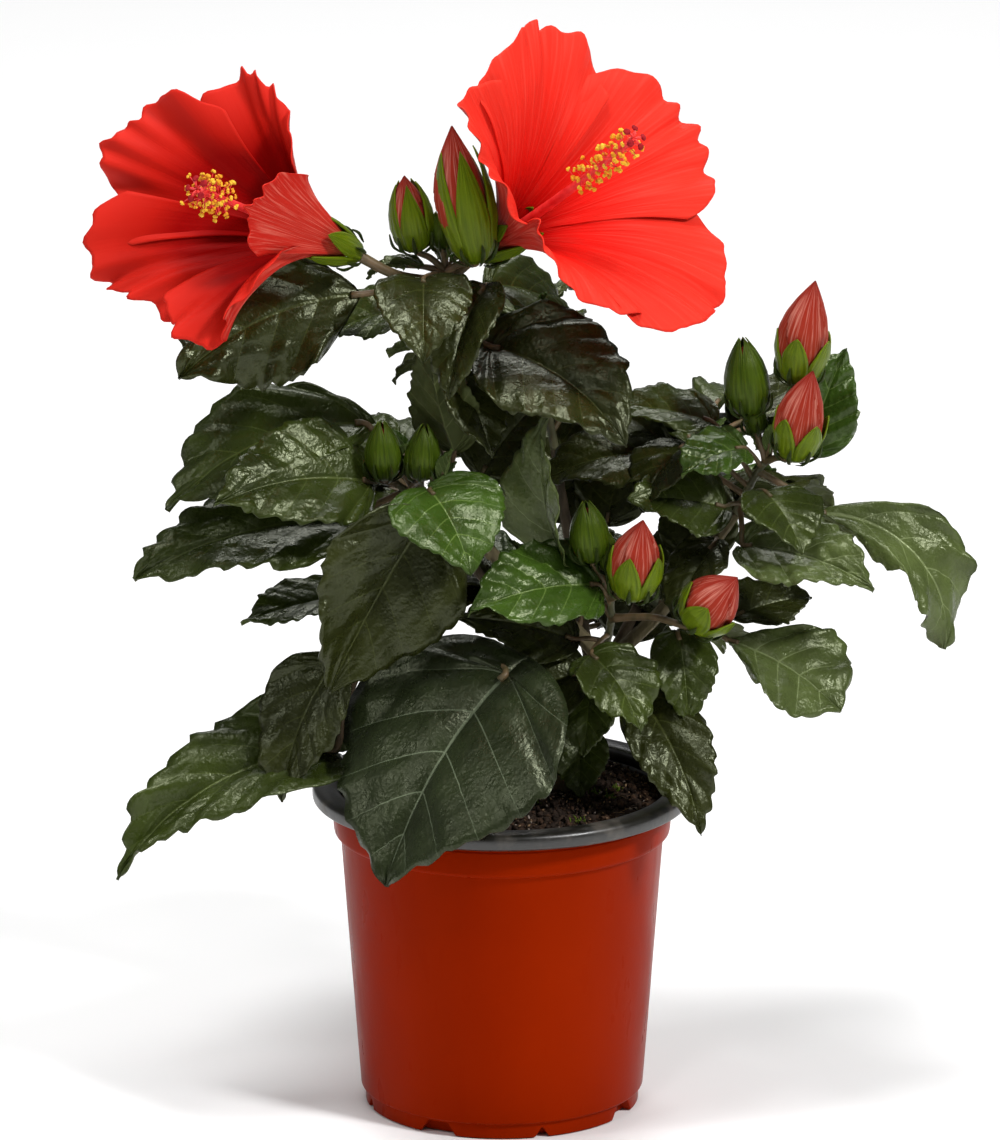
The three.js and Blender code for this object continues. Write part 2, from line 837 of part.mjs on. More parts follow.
function makeBloom(bloom) {
  const axis = vector(bloom.facing).normalize();
  const right = new THREE.Vector3(1, 0, 0).addScaledVector(axis, -axis.x).normalize();
  const frame = { foot: vector(bloom.stalk[2]), axis, right, up: axis.clone().cross(right) };
  const ahead = (distance) => frame.foot.clone().addScaledVector(axis, distance);
  const calyxPath = [ahead(-1), ahead(9), ahead(20)].map((point) => point.toArray());
  const columnPath = [ahead(4), ahead(bloom.columnLength / 2), ahead(bloom.columnLength)];
  const calyxRadius = (share) => 3.2 + 4.6 * Math.sin(Math.PI * Math.min(share * 0.62, 1));
  const columnRadius = (share) => (share > 0.6 && share < 0.99 ? 3.6 : 1.7);
  const stalkPath = [...bloom.stalk, ahead(4).toArray()];
  return joined([
    limb(stalkPath, taper(1.2, 1.6), 6, 6),
    limb(calyxPath, calyxRadius, 8, 3),
    limb(columnPath.map((point) => point.toArray()), columnRadius, 6, 6),
    ...bloom.petals.map((petal) => makePetal(bloom, petal, frame)),
  ]);
}

// ---- The plant ----

const group = new THREE.Group();

function addNode(name, solid, look) {
  const { numProp, vertProperties, triVerts } = solid.getMesh();
  const geometry = new THREE.BufferGeometry();
  geometry.setAttribute(
    "position",
    new THREE.InterleavedBufferAttribute(new THREE.InterleavedBuffer(vertProperties, numProp), 3, 0),
  );
  geometry.setIndex(new THREE.BufferAttribute(triVerts, 1));
  geometry.computeVertexNormals();
  const mesh = new THREE.Mesh(geometry, new THREE.MeshStandardMaterial(look));
  mesh.name = name;
  group.add(mesh);
}

addNode("pot", makePot(), finish.potPlastic);
addNode("pot_rim", makeRim(), finish.rimPlastic);
addNode("potting_mix", makeSoil(), finish.soil);
addNode("trunk", makeTrunk(), finish.bark);
for (const [name, bough] of Object.entries(boughs)) addNode(name, makeBough(bough), finish.bark);
for (const [name, spray] of Object.entries(sprays)) addNode(name, makeSpray(spray), finish.foliage);
const random = seededRandom(seed);
for (const [name, spray] of Object.entries(backSprays)) {
  const grown = { ...spray, leaves: grownLeaves(spray, random), buds: [] };
  addNode(name, makeSpray(grown), finish.foliage);
}
for (const [name, bloom] of Object.entries(blooms)) addNode(name, makeBloom(bloom), finish.bloom);

export default group;
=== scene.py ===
import bpy
import math
import numpy as np
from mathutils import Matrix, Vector


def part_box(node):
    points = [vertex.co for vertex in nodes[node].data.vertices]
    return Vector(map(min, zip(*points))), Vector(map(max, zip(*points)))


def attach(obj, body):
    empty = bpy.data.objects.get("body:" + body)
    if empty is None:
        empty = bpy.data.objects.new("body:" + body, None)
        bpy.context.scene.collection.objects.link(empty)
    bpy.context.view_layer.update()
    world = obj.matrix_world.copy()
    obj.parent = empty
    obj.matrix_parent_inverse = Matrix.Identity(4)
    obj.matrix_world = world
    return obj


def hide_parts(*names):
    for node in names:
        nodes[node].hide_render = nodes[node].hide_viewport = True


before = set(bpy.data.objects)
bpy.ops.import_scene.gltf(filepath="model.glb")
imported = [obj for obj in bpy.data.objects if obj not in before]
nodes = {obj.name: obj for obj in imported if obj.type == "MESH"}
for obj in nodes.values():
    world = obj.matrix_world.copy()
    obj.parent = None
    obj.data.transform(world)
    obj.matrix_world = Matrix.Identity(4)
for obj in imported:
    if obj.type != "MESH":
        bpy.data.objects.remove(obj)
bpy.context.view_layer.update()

mm = 0.001  # plant and pot are worked out in millimetres and made in metres
sprayNodes = sorted(name for name in nodes if name.endswith("_spray"))
limbNodes = sorted(name for name in nodes if name.startswith("bough_")) + ["trunk", "pruned_stub"]
bloomNodes = ["bloom_left", "bloom_right"]


studio = {
    "aim": (-0.0007, 0.0, 0.189),
    "distance": 3.5,
    "elevation": 15.5,
    "lens": 323.2,
    "floorSize": 14.0,
    "floorShade": (0.93, 0.93, 0.93),
    "skyStrength": 0.14,
}


def aimAt(piece, target):
    direction = Vector(target) - piece.location
    piece.rotation_euler = direction.to_track_quat("-Z", "Y").to_euler()


def addCamera():
    rise = math.radians(studio["elevation"])
    back = Vector((0.0, -math.cos(rise), math.sin(rise))) * studio["distance"]
    bpy.ops.object.camera_add(location=Vector(studio["aim"]) + back)
    camera = bpy.context.object
    aimAt(camera, studio["aim"])
    camera.data.lens = studio["lens"]
    camera.data.clip_end = 60.0
    bpy.context.scene.camera = camera


def addSoftbox(name, place, size, power, target=(0.0, 0.0, 0.2)):
    bpy.ops.object.light_add(type="AREA", location=place)
    softbox = bpy.context.object
    softbox.name = name
    softbox.data.shape = "RECTANGLE"
    softbox.data.size = size[0]
    softbox.data.size_y = size[1]
    softbox.data.energy = power
    aimAt(softbox, target)


def addFloor():
    bpy.ops.mesh.primitive_plane_add(size=studio["floorSize"], location=(0.0, 0.0, -0.0004))
    floor = bpy.context.object
    floor.name = "paleFloor"
    matt = bpy.data.materials.new("palePaper")
    matt.use_nodes = True
    shader = matt.node_tree.nodes["Principled BSDF"]
    shader.inputs["Base Color"].default_value = (*studio["floorShade"], 1.0)
    shader.inputs["Roughness"].default_value = 0.9
    shader.inputs["Specular IOR Level"].default_value = 0.1
    floor.data.materials.append(matt)


def addSky():
    sky = bpy.data.worlds.new("paleRoom")
    sky.use_nodes = True
    sky.node_tree.nodes["Background"].inputs["Color"].default_value = (1.0, 1.0, 1.0, 1.0)
    sky.node_tree.nodes["Background"].inputs["Strength"].default_value = studio["skyStrength"]
    bpy.context.scene.world = sky


addCamera()
addFloor()
addSky()
addSoftbox("keySoftbox", (1.8, -1.4, 2.2), (0.42, 0.42), 68.0)
addSoftbox("topSoftbox", (-0.3, -0.3, 2.3), (0.7, 0.7), 34.0)
addSoftbox("frontSoftbox", (-0.5, -1.9, 2.3), (0.35, 0.35), 7.0)
addSoftbox("leftSoftbox", (-1.9, -0.7, 1.5), (0.3, 0.8), 7.5)
addSoftbox("backdropSoftbox", (0.0, 1.9, 2.2), (1.6, 0.8), 26.0, (0.0, 1.7, 0.0))
bpy.context.scene.view_settings.view_transform = "Standard"
print("studio ready")


# How far light travels inside petals and sepals, by channel, and the length that scales it.
glowSpread = (1.0, 0.25, 0.15)
glowDepth = 3 * mm


def newFinish(name, shade, roughness, specular=0.5, glow=0.0, tint=(1.0, 1.0, 1.0)):
    finish = bpy.data.materials.new(name)
    finish.use_nodes = True
    shader = finish.node_tree.nodes["Principled BSDF"]
    shader.inputs["Base Color"].default_value = (*shade, 1.0)
    shader.inputs["Roughness"].default_value = roughness
    shader.inputs["Specular IOR Level"].default_value = specular
    shader.inputs["Specular Tint"].default_value = (*tint, 1.0)
    if glow:
        shader.inputs["Subsurface Weight"].default_value = glow
        shader.inputs["Subsurface Radius"].default_value = glowSpread
        shader.inputs["Subsurface Scale"].default_value = glowDepth
    return finish


# A pattern on the piece's own coordinates, or on its map. Returns the socket with its value or distance.
def pattern(finish, kind, scale, stretch=(1.0, 1.0, 1.0), detail=3.0, mapName=None):
    tree = finish.node_tree
    if mapName:
        source = tree.nodes.new("ShaderNodeUVMap")
        source.uv_map = mapName
        coordinates = source.outputs["UV"]
    else:
        coordinates = tree.nodes.new("ShaderNodeTexCoord").outputs["Object"]
    mapping = tree.nodes.new("ShaderNodeMapping")
    mapping.inputs["Scale"].default_value = stretch
    tree.links.new(coordinates, mapping.inputs["Vector"])
    texture = tree.nodes.new(kind)
    texture.inputs["Scale"].default_value = scale
    if "Detail" in texture.inputs:
        texture.inputs["Detail"].default_value = detail
    tree.links.new(mapping.outputs["Vector"], texture.inputs["Vector"])
    return texture.outputs[0]


def ramp(finish, value, stops):
    tree = finish.node_tree
    blend = tree.nodes.new("ShaderNodeValToRGB")
    while len(blend.color_ramp.elements) < len(stops):
        blend.color_ramp.elements.new(0.5)
    for element, (place, shade) in zip(blend.color_ramp.elements, stops):
        element.position = place
        element.color = (*shade, 1.0)
    tree.links.new(value, blend.inputs["Fac"])
    return blend.outputs["Color"]


# The mix node lists its sockets for numbers first, so those for colours are picked by place.
mixPlaces = {"factor": 0, "first": 6, "second": 7, "result": 2}


def mixed(finish, factor, first, second):
    tree = finish.node_tree
    mix = tree.nodes.new("ShaderNodeMix")
    mix.data_type = "RGBA"
    tree.links.new(factor, mix.inputs[mixPlaces["factor"]])
    tree.links.new(first, mix.inputs[mixPlaces["first"]])
    mix.inputs[mixPlaces["second"]].default_value = (*second, 1.0)
    return mix.outputs[mixPlaces["result"]]


def feed(finish, value, socketName):
    shader = finish.node_tree.nodes["Principled BSDF"]
    finish.node_tree.links.new(value, shader.inputs[socketName])


def roughen(finish, value, low, high):
    feed(finish, ramp(finish, value, [(0.25, (low,) * 3), (0.75, (high,) * 3)]), "Roughness")


# Relief from one or more patterns, each with its depth in metres.
def emboss(finish, *layers):
    tree = finish.node_tree
    normal = None
    for value, depth in layers:
        bump = tree.nodes.new("ShaderNodeBump")
        bump.inputs["Distance"].default_value = depth
        bump.inputs["Strength"].default_value = 1.0
        tree.links.new(value, bump.inputs["Height"])
        if normal:
            tree.links.new(normal, bump.inputs["Normal"])
        normal = bump.outputs["Normal"]
    feed(finish, normal, "Normal")


def scaled(shade, factor):
    return tuple(min(channel * factor, 1.0) for channel in shade)


# A heap gathers the faces of many small forms, which become one piece.
def newHeap():
    return {"points": [], "quads": [], "quadPaint": [], "tris": [], "triPaint": [], "map": [], "count": 0}


def addFaces(heap, points, quads=None, quadPaint=0, tris=None, triPaint=0, surfaceMap=None):
    start = heap["count"]
    heap["points"].append(points)
    for faces, paint, key in ((quads, quadPaint, "quad"), (tris, triPaint, "tri")):
        if faces is not None:
            heap[key + "s"].append(faces + start)
            heap[key + "Paint"].append(np.broadcast_to(paint, (len(faces),)))
    if surfaceMap is not None:
        heap["map"].append(surfaceMap)
    heap["count"] += len(points)


def makePiece(name, heap, finishes, slot, replaced, mapName=None):
    points = np.concatenate(heap["points"]) * mm
    quads = np.concatenate(heap["quads"]) if heap["quads"] else np.zeros((0, 4), int)
    tris = np.concatenate(heap["tris"]) if heap["tris"] else np.zeros((0, 3), int)
    corners = np.concatenate([quads.ravel(), tris.ravel()])
    starts = np.concatenate([np.arange(len(quads)) * 4, len(quads) * 4 + np.arange(len(tris)) * 3])
    paints = np.concatenate(heap["quadPaint"] + heap["triPaint"])
    mesh = bpy.data.meshes.new(name)
    mesh.vertices.add(len(points))
    mesh.vertices.foreach_set("co", points.astype(np.float32).ravel())
    mesh.loops.add(len(corners))
    mesh.loops.foreach_set("vertex_index", corners.astype(np.int32))
    mesh.polygons.add(len(starts))
    mesh.polygons.foreach_set("loop_start", starts.astype(np.int32))
    mesh.polygons.foreach_set("material_index", paints.astype(np.int32))
    mesh.update(calc_edges=True)
    if mapName:
        layer = mesh.uv_layers.new(name=mapName)
        layer.data.foreach_set("uv", np.concatenate(heap["map"])[corners].astype(np.float32).ravel())
    mesh.shade_smooth()
    for finish in finishes:
        mesh.materials.append(finish)
    piece = bpy.data.objects.new(name, mesh)
    bpy.context.collection.objects.link(piece)
    place(piece, slot, replaced)
    print(name, len(quads) * 2 + len(tris), "triangles")
    return piece


def place(piece, slot, replaced):
    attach(piece, "root")
    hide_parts(*replaced)


# A closed sheet between two grids of points, with its faces painted on both sides and at the rim.
def addSheet(heap, top, under, paintTop, paintUnder, paintRim, surfaceMap=None):
    rows, columns = top.shape[:2]
    ids = np.arange(rows * columns).reshape(rows, columns)
    a, b, c, d = ids[:-1, :-1], ids[1:, :-1], ids[1:, 1:], ids[:-1, 1:]
    upper = np.stack([a, b, c, d], -1).reshape(-1, 4)
    lower = upper[:, ::-1] + rows * columns
    loop = np.concatenate([ids[0, :-1], ids[:-1, -1], ids[-1, :0:-1], ids[:0:-1, 0]])
    after = np.roll(loop, -1)
    rim = np.stack([loop, after, after + rows * columns, loop + rows * columns], -1)
    paint = np.concatenate([
        np.broadcast_to(paintTop, a.shape).ravel(),
        np.broadcast_to(paintUnder, a.shape).ravel(),
        np.full(len(rim), paintRim),
    ])
    points = np.concatenate([top.reshape(-1, 3), under.reshape(-1, 3)])
    doubled = None if surfaceMap is None else np.concatenate([surfaceMap.reshape(-1, 2)] * 2)
    addFaces(heap, points, np.concatenate([upper, lower, rim]), paint, surfaceMap=doubled)


def unit(vectors):
    return vectors / np.maximum(np.linalg.norm(vectors, axis=-1, keepdims=True), 1e-9)


# Directions across a path, carried along it without twist.
def framesAlong(points):
    tangents = unit(np.gradient(points, axis=0))
    side = np.cross(tangents[0], [0.31, 0.17, 0.93])
    sides = []
    for tangent in tangents:
        side = unit(side - tangent * (side @ tangent))
        sides.append(side)
    sides = np.array(sides)
    return sides, np.cross(tangents, sides)


# A closed round limb along a path. The radius is one for each point, or one for each point and side.
def addTube(heap, points, radius, sides, paint=0, endPaint=None):
    across, upward = framesAlong(points)
    turn = np.arange(sides) * 2 * np.pi / sides
    radius = np.broadcast_to(np.asarray(radius, float).reshape(len(points), -1), (len(points), sides))
    ring = np.cos(turn)[:, None] * across[:, None] + np.sin(turn)[:, None] * upward[:, None]
    grid = points[:, None] + radius[..., None] * ring
    ids = np.arange(grid.shape[0] * sides).reshape(-1, sides)
    onward = np.roll(ids, -1, axis=1)
    quads = np.stack([ids[:-1], onward[:-1], onward[1:], ids[1:]], -1).reshape(-1, 4)
    first, last = ids.size, ids.size + 1
    tris = np.concatenate([
        np.stack([np.full(sides, first), onward[0], ids[0]], -1),
        np.stack([np.full(sides, last), ids[-1], onward[-1]], -1),
    ])
    endPaint = paint if endPaint is None else endPaint
    everyPoint = np.concatenate([grid.reshape(-1, 3), points[:1], points[-1:]])
    addFaces(heap, everyPoint, quads, paint, tris, endPaint)


# A smooth centripetal curve through the points, given as evenly spaced points along it.
def smoothCurve(points, count):
    knots = [np.array(point, float) for point in points]
    knots = [2 * knots[0] - knots[1], *knots, 2 * knots[-1] - knots[-2]]
    spans = len(points) - 1
    fine = []
    for share in np.linspace(0, spans, 201):
        index = min(int(share), spans - 1)
        before, start, end, after = knots[index:index + 4]
        steps = (start - before, end - start, after - end)
        gaps = [math.sqrt(np.linalg.norm(step)) for step in steps]
        leave = steps[0] / gaps[0] - (end - before) / (gaps[0] + gaps[1]) + steps[1] / gaps[1]
        reach = steps[1] / gaps[1] - (after - start) / (gaps[1] + gaps[2]) + steps[2] / gaps[2]
        t = share - index
        fine.append(
            start * (2 * t ** 3 - 3 * t ** 2 + 1)
            + leave * gaps[1] * (t ** 3 - 2 * t ** 2 + t)
            + end * (3 * t ** 2 - 2 * t ** 3)
            + reach * gaps[1] * (t ** 3 - t ** 2)
        )
    fine = np.array(fine)
    lengths = np.concatenate([[0], np.cumsum(np.linalg.norm(np.diff(fine, axis=0), axis=1))])
    wanted = np.linspace(0, lengths[-1], count)
    return np.stack([np.interp(wanted, lengths, fine[:, axis]) for axis in range(3)], -1)


def alongCurve(curve, share):
    place = share * (len(curve) - 1)
    return np.array([np.interp(place, np.arange(len(curve)), curve[:, axis]) for axis in range(3)])


def heading(turn, pitch):
    a, b = math.radians(turn), math.radians(pitch)
    return np.array([math.cos(b) * math.cos(a), math.cos(b) * math.sin(a), math.sin(b)])


def startEditing(piece):
    bpy.ops.object.select_all(action="DESELECT")
    bpy.context.view_layer.objects.active = piece
    piece.select_set(True)
    bpy.ops.object.mode_set(mode="EDIT")
    bpy.ops.mesh.select_mode(type="VERT")
    bpy.ops.mesh.select_all(action="SELECT")


def applyModifier(piece, name, kind, **settings):
    modifier = piece.modifiers.new(name, kind)
    for key, value in settings.items():
        setattr(modifier, key, value)
    bpy.context.view_layer.objects.active = piece
    bpy.ops.object.modifier_apply(modifier=modifier.name)


# A section drawn point by point from one vertex, then spun round the upright axis.
def spunPiece(name, section, steps, closed):
    bpy.ops.object.select_all(action="DESELECT")
    start = (section[0][0] * mm, 0.0, section[0][1] * mm)
    bpy.ops.mesh.primitive_plane_add(size=mm, location=start)
    piece = bpy.context.object
    piece.name = name
    bpy.ops.object.transform_apply(location=True, rotation=False, scale=False)
    startEditing(piece)
    bpy.ops.mesh.merge(type="CENTER")
    for (radius, height), (nextRadius, nextHeight) in zip(section, section[1:]):
        step = ((nextRadius - radius) * mm, 0.0, (nextHeight - height) * mm)
        bpy.ops.mesh.extrude_region_move(TRANSFORM_OT_translate={"value": step})
    bpy.ops.mesh.select_all(action="SELECT")
    if closed:
        bpy.ops.mesh.remove_doubles(threshold=1e-6)
        bpy.ops.mesh.select_all(action="SELECT")
    bpy.ops.mesh.spin(steps=steps, angle=2 * math.pi, center=(0, 0, 0), axis=(0, 0, 1))
    bpy.ops.mesh.select_all(action="SELECT")
    bpy.ops.mesh.remove_doubles(threshold=2e-6)
    bpy.ops.mesh.select_all(action="SELECT")
    bpy.ops.mesh.normals_make_consistent(inside=False)
    bpy.ops.object.mode_set(mode="OBJECT")
    return piece


potBox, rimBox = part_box("pot"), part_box("pot_rim")
pot = {
    "bandRadius": potBox[1].x / mm,
    "bandTop": potBox[1].z / mm,
    "rimRadius": rimBox[1].x / mm,
    "rimTop": rimBox[1].z / mm,
    "ledgeHeight": 97.0,
    "bodyTopRadius": 55.6,
    "bodyFootRadius": 48.4,
    "wall": 1.8,
    "floor": 4.0,
    "footHeight": 5.0,
    "footInset": 1.2,
    "seatRadius": 34.0,
    "grooveRadius": 42.0,
    "steps": 120,
}
# Arches cut into the foot by turns: the width, the share of it left at the top, and the height.
notches = {
    "count": 8, "firstTurn": -118.0, "depth": 10,
    "wide": (15.0, 0.5, 4.4), "narrow": (6.2, 0.12, 3.2),
}


def potRadius(height):
    share = height / pot["ledgeHeight"]
    return pot["bodyFootRadius"] + (pot["bodyTopRadius"] - pot["bodyFootRadius"]) * share


def potSection():
    foot = pot["bodyFootRadius"] - pot["footInset"]
    ledge, band, top, wall = pot["ledgeHeight"], pot["bandRadius"], pot["bandTop"], pot["wall"]
    deck = pot["footHeight"] + pot["floor"]
    grooveTop = pot["footHeight"] - 1.5
    underside = [
        (0.0, 0.0),
        (pot["seatRadius"], 0.0),
        (pot["seatRadius"] + 2.0, grooveTop),
        (pot["grooveRadius"] - 1.0, grooveTop),
        (pot["grooveRadius"], 0.0),
        (foot, 0.0),
    ]
    outside = [
        (foot, pot["footHeight"]),
        (potRadius(pot["footHeight"]) - 0.3, pot["footHeight"] + 0.5),
        (potRadius(pot["footHeight"]), pot["footHeight"] + 1.2),
        (potRadius(ledge), ledge - 1.0),
    ]
    ledgeAndBand = [
        (band - 1.9, ledge - 0.7),
        (band - 1.3, ledge),
        (band - 1.1, ledge + 0.9),
        (band - 0.5, top - 2.4),
        (band - 0.9, top - 2.0),
        (band - 0.9, top - 1.3),
        (band, top - 0.8),
        (band, top),
    ]
    inside = [
        (band - wall, top),
        (band - 1.2 - wall, ledge + wall),
        (potRadius(ledge) - wall, ledge - 0.6),
        (potRadius(pot["floor"]) - wall, deck),
        (0.0, deck),
    ]
    return underside + outside + ledgeAndBand + inside


def cutNotch(piece, index):
    width, topShare, height = notches["narrow"] if index % 2 else notches["wide"]
    turn = math.radians(notches["firstTurn"] + index * 360 / notches["count"])
    reach = pot["bodyFootRadius"] * mm
    place = (reach * math.cos(turn), reach * math.sin(turn), (height / 2 - 0.5) * mm)
    bpy.ops.object.select_all(action="DESELECT")
    bpy.ops.mesh.primitive_cube_add(size=1.0, location=place, rotation=(0, 0, turn))
    cutter = bpy.context.object
    cutter.scale = (notches["depth"] * mm, width * mm, (height + 1.0) * mm)
    for vertex in cutter.data.vertices:
        if vertex.co.z > 0:
            vertex.co.y *= topShare
    bpy.context.view_layer.update()
    applyModifier(piece, "notch", "BOOLEAN", object=cutter, operation="DIFFERENCE", solver="EXACT")
    bpy.data.objects.remove(cutter)


def plasticFinish():
    finish = newFinish("orangePlastic", (0.2, 0.009, 0.0001), 0.3, specular=0.022, tint=(1.0, 0.3, 0.08))
    cloud = pattern(finish, "ShaderNodeTexNoise", 14.0, stretch=(1.0, 1.0, 0.5))
    shade = ramp(finish, cloud, [(0.3, (0.214, 0.0100, 0.0001)), (0.7, (0.276, 0.0150, 0.0002))])
    feed(finish, shade, "Base Color")
    scuffs = pattern(finish, "ShaderNodeTexNoise", 160.0, stretch=(1.0, 1.0, 0.3), detail=6.0)
    roughen(finish, scuffs, 0.24, 0.38)
    emboss(finish, (pattern(finish, "ShaderNodeTexNoise", 900.0, detail=2.0), 0.00003))
    return finish


def rimFinish():
    finish = newFinish("blackRim", (0.005, 0.004, 0.003), 0.30, specular=0.75)
    dust = pattern(finish, "ShaderNodeTexNoise", 120.0, detail=8.0)
    shade = ramp(finish, dust, [(0.5, (0.006, 0.005, 0.003)), (0.72, (0.065, 0.055, 0.043))])
    feed(finish, shade, "Base Color")
    roughen(finish, dust, 0.24, 0.5)
    emboss(finish, (pattern(finish, "ShaderNodeTexNoise", 700.0, detail=4.0), 0.00006))
    return finish


def makePot():
    piece = spunPiece("potBody", potSection(), pot["steps"], False)
    for index in range(notches["count"]):
        cutNotch(piece, index)
    applyModifier(
        piece, "softEdges", "BEVEL",
        width=0.35 * mm, segments=2, limit_method="ANGLE", angle_limit=math.radians(35),
    )
    startEditing(piece)
    bpy.ops.mesh.normals_make_consistent(inside=False)
    bpy.ops.object.mode_set(mode="OBJECT")
    bpy.ops.object.shade_smooth_by_angle(angle=math.radians(40))
    piece.data.materials.append(plasticFinish())
    place(piece, "pot_plastic", ["pot"])


lip = {
    "inward": 2.6,
    "sunk": 0.4,
    "places": (-3, 20),
    "placesRound": 32,
    "flatTop": 0.62,
    "flatFoot": 0.5,
    "flatSide": 0.8,
    "skirtDeep": 6.0,
}


# The rolled lip: a rounded ring, flatter below, with a skirt that runs down inside the pot.
def makeRim():
    inner = pot["bandRadius"] - lip["inward"]
    middle = (pot["rimRadius"] + inner) / 2
    halfWide = (pot["rimRadius"] - inner) / 2
    bottom = rimBox[0].z / mm - lip["sunk"]
    halfHigh = (pot["rimTop"] - bottom) / 2
    section = []
    for index in range(*lip["places"]):
        turn = 2 * math.pi * index / lip["placesRound"]
        flat = lip["flatTop"] if math.sin(turn) > 0 else lip["flatFoot"]
        wide = math.copysign(abs(math.cos(turn)) ** lip["flatSide"], math.cos(turn))
        high = math.copysign(abs(math.sin(turn)) ** flat, math.sin(turn))
        section.append((middle + halfWide * wide, bottom + halfHigh * (1 + high)))
    skirt = bottom - lip["skirtDeep"]
    section += [(inner, bottom), (inner - 0.5, skirt), (inner + 0.5, skirt - 0.2), (inner + 1.2, bottom)]
    section += [(pot["rimRadius"] - 2.4, bottom)]
    piece = spunPiece("potRim", [*section, section[0]], pot["steps"], True)
    bpy.context.view_layer.objects.active = piece
    piece.select_set(True)
    bpy.ops.object.shade_smooth_by_angle(angle=math.radians(50))
    piece.data.materials.append(rimFinish())
    place(piece, "rim_plastic", ["pot_rim"])


makePot()
makeRim()
print("pot and rim spun")


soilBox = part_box("potting_mix")
mix = {
    "edgeRadius": pot["bandRadius"] - pot["wall"] - 1.8,
    "edgeHeight": 108.4,
    "crownHeight": soilBox[1].z / mm + 0.3,
    "sides": 150,
    "rings": 46,
    "crumbs": 2600,
    "specks": 330,
    "mossTufts": 34,
    "fibres": 46,
    "skirtDrops": (2.5, -3.5, -86.0),  # to the pot's ledge, past it, and down to its floor
    "clearance": 1.0,
    "crumbForm": {"least": 0.5, "spread": 1.1, "power": 3, "lift": (-0.2, 0.9), "pale": 0.3},
    "speckForm": {"least": 0.25, "spread": 0.5, "power": 2, "lift": (0.7, 0.6), "pale": 0.4},
    "fronds": 16,
}


def mixHeight(radius):
    share = np.clip(radius / mix["edgeRadius"], 0, 1)
    return mix["edgeHeight"] + (mix["crownHeight"] - mix["edgeHeight"]) * (1 - share ** 2.4)


def soilFinish(name, dark, light):
    finish = newFinish(name, dark, 0.92, specular=0.2)
    grain = pattern(finish, "ShaderNodeTexNoise", 420.0, detail=8.0)
    feed(finish, ramp(finish, grain, [(0.35, dark), (0.7, light)]), "Base Color")
    emboss(finish, (pattern(finish, "ShaderNodeTexVoronoi", 700.0), 0.0004), (grain, 0.0005))
    return finish


def makeMixBed():
    bpy.ops.object.select_all(action="DESELECT")
    bpy.ops.mesh.primitive_circle_add(
        vertices=mix["sides"], radius=mix["edgeRadius"] * mm,
        location=(0, 0, mix["edgeHeight"] * mm), fill_type="NGON",
    )
    piece = bpy.context.object
    piece.name = "pottingMixBed"
    bpy.ops.object.transform_apply(location=True, rotation=False, scale=False)
    startEditing(piece)
    bpy.ops.mesh.select_mode(type="FACE")
    bpy.ops.mesh.select_all(action="SELECT")
    for _ in range(mix["rings"]):
        bpy.ops.mesh.inset(thickness=mix["edgeRadius"] * mm / (mix["rings"] + 1))
    bpy.ops.mesh.merge(type="CENTER")
    bpy.ops.object.mode_set(mode="OBJECT")
    for vertex in piece.data.vertices:
        vertex.co.z = mixHeight(math.hypot(vertex.co.x, vertex.co.y) / mm) * mm
    for name, scale, depth in (("clods", 7 * mm, 2.6 * mm), ("grains", 1.6 * mm, 1.3 * mm)):
        lumps = bpy.data.textures.new(name, "CLOUDS")
        lumps.noise_scale = scale
        applyModifier(piece, name, "DISPLACE", texture=lumps, strength=depth, mid_level=0.62)
    startEditing(piece)
    bpy.ops.mesh.select_all(action="DESELECT")
    bpy.ops.mesh.select_non_manifold()
    inward = pot["wall"] + mix["clearance"]
    shrink = (potRadius(pot["floor"]) - inward) / mix["edgeRadius"]
    neck = (pot["bodyTopRadius"] - inward) / mix["edgeRadius"]
    toLedge, pastLedge, toFloor = mix["skirtDrops"]
    toLedge += pot["ledgeHeight"] - mix["edgeHeight"]
    for drop, size in ((toLedge, 1.0), (pastLedge, neck), (toFloor, shrink / neck)):
        bpy.ops.mesh.extrude_region_move(TRANSFORM_OT_translate={"value": (0, 0, drop * mm)})
        bpy.ops.transform.resize(value=(size, size, 1))
    bpy.ops.mesh.edge_face_add()
    bpy.ops.mesh.select_all(action="SELECT")
    bpy.ops.mesh.normals_make_consistent(inside=False)
    bpy.ops.object.mode_set(mode="OBJECT")
    piece.data.shade_smooth()
    piece.data.materials.append(soilFinish("dampPeat", (0.015, 0.009, 0.006), (0.06, 0.036, 0.024)))
    place(piece, "potting_mix", ["potting_mix"])


golden = (1 + math.sqrt(5)) / 2
crumbCorners = unit(np.array(
    [(x, y * golden, 0) for x in (-1, 1) for y in (-1, 1)]
    + [(0, x, y * golden) for x in (-1, 1) for y in (-1, 1)]
    + [(y * golden, 0, x) for x in (-1, 1) for y in (-1, 1)], float))


# The twenty faces of a crumb: every three corners that lie one edge apart, facing out.
def crumbFaces():
    edge = min(np.linalg.norm(crumbCorners[0] - other) for other in crumbCorners[1:]) * 1.01
    near = lambda i, j: np.linalg.norm(crumbCorners[i] - crumbCorners[j]) < edge
    faces = []
    for i in range(12):
        for j in range(i + 1, 12):
            for k in range(j + 1, 12):
                if near(i, j) and near(j, k) and near(i, k):
                    a, b, c = crumbCorners[[i, j, k]]
                    outward = np.cross(b - a, c - a) @ a > 0
                    faces.append((i, j, k) if outward else (i, k, j))
    return np.array(faces)


crumbTris = crumbFaces()


def turnedAt(random):
    spin = unit(random.normal(size=4))
    w, x, y, z = spin
    return np.array([
        [1 - 2 * (y * y + z * z), 2 * (x * y - w * z), 2 * (x * z + w * y)],
        [2 * (x * y + w * z), 1 - 2 * (x * x + z * z), 2 * (y * z - w * x)],
        [2 * (x * z - w * y), 2 * (y * z + w * x), 1 - 2 * (x * x + y * y)],
    ])


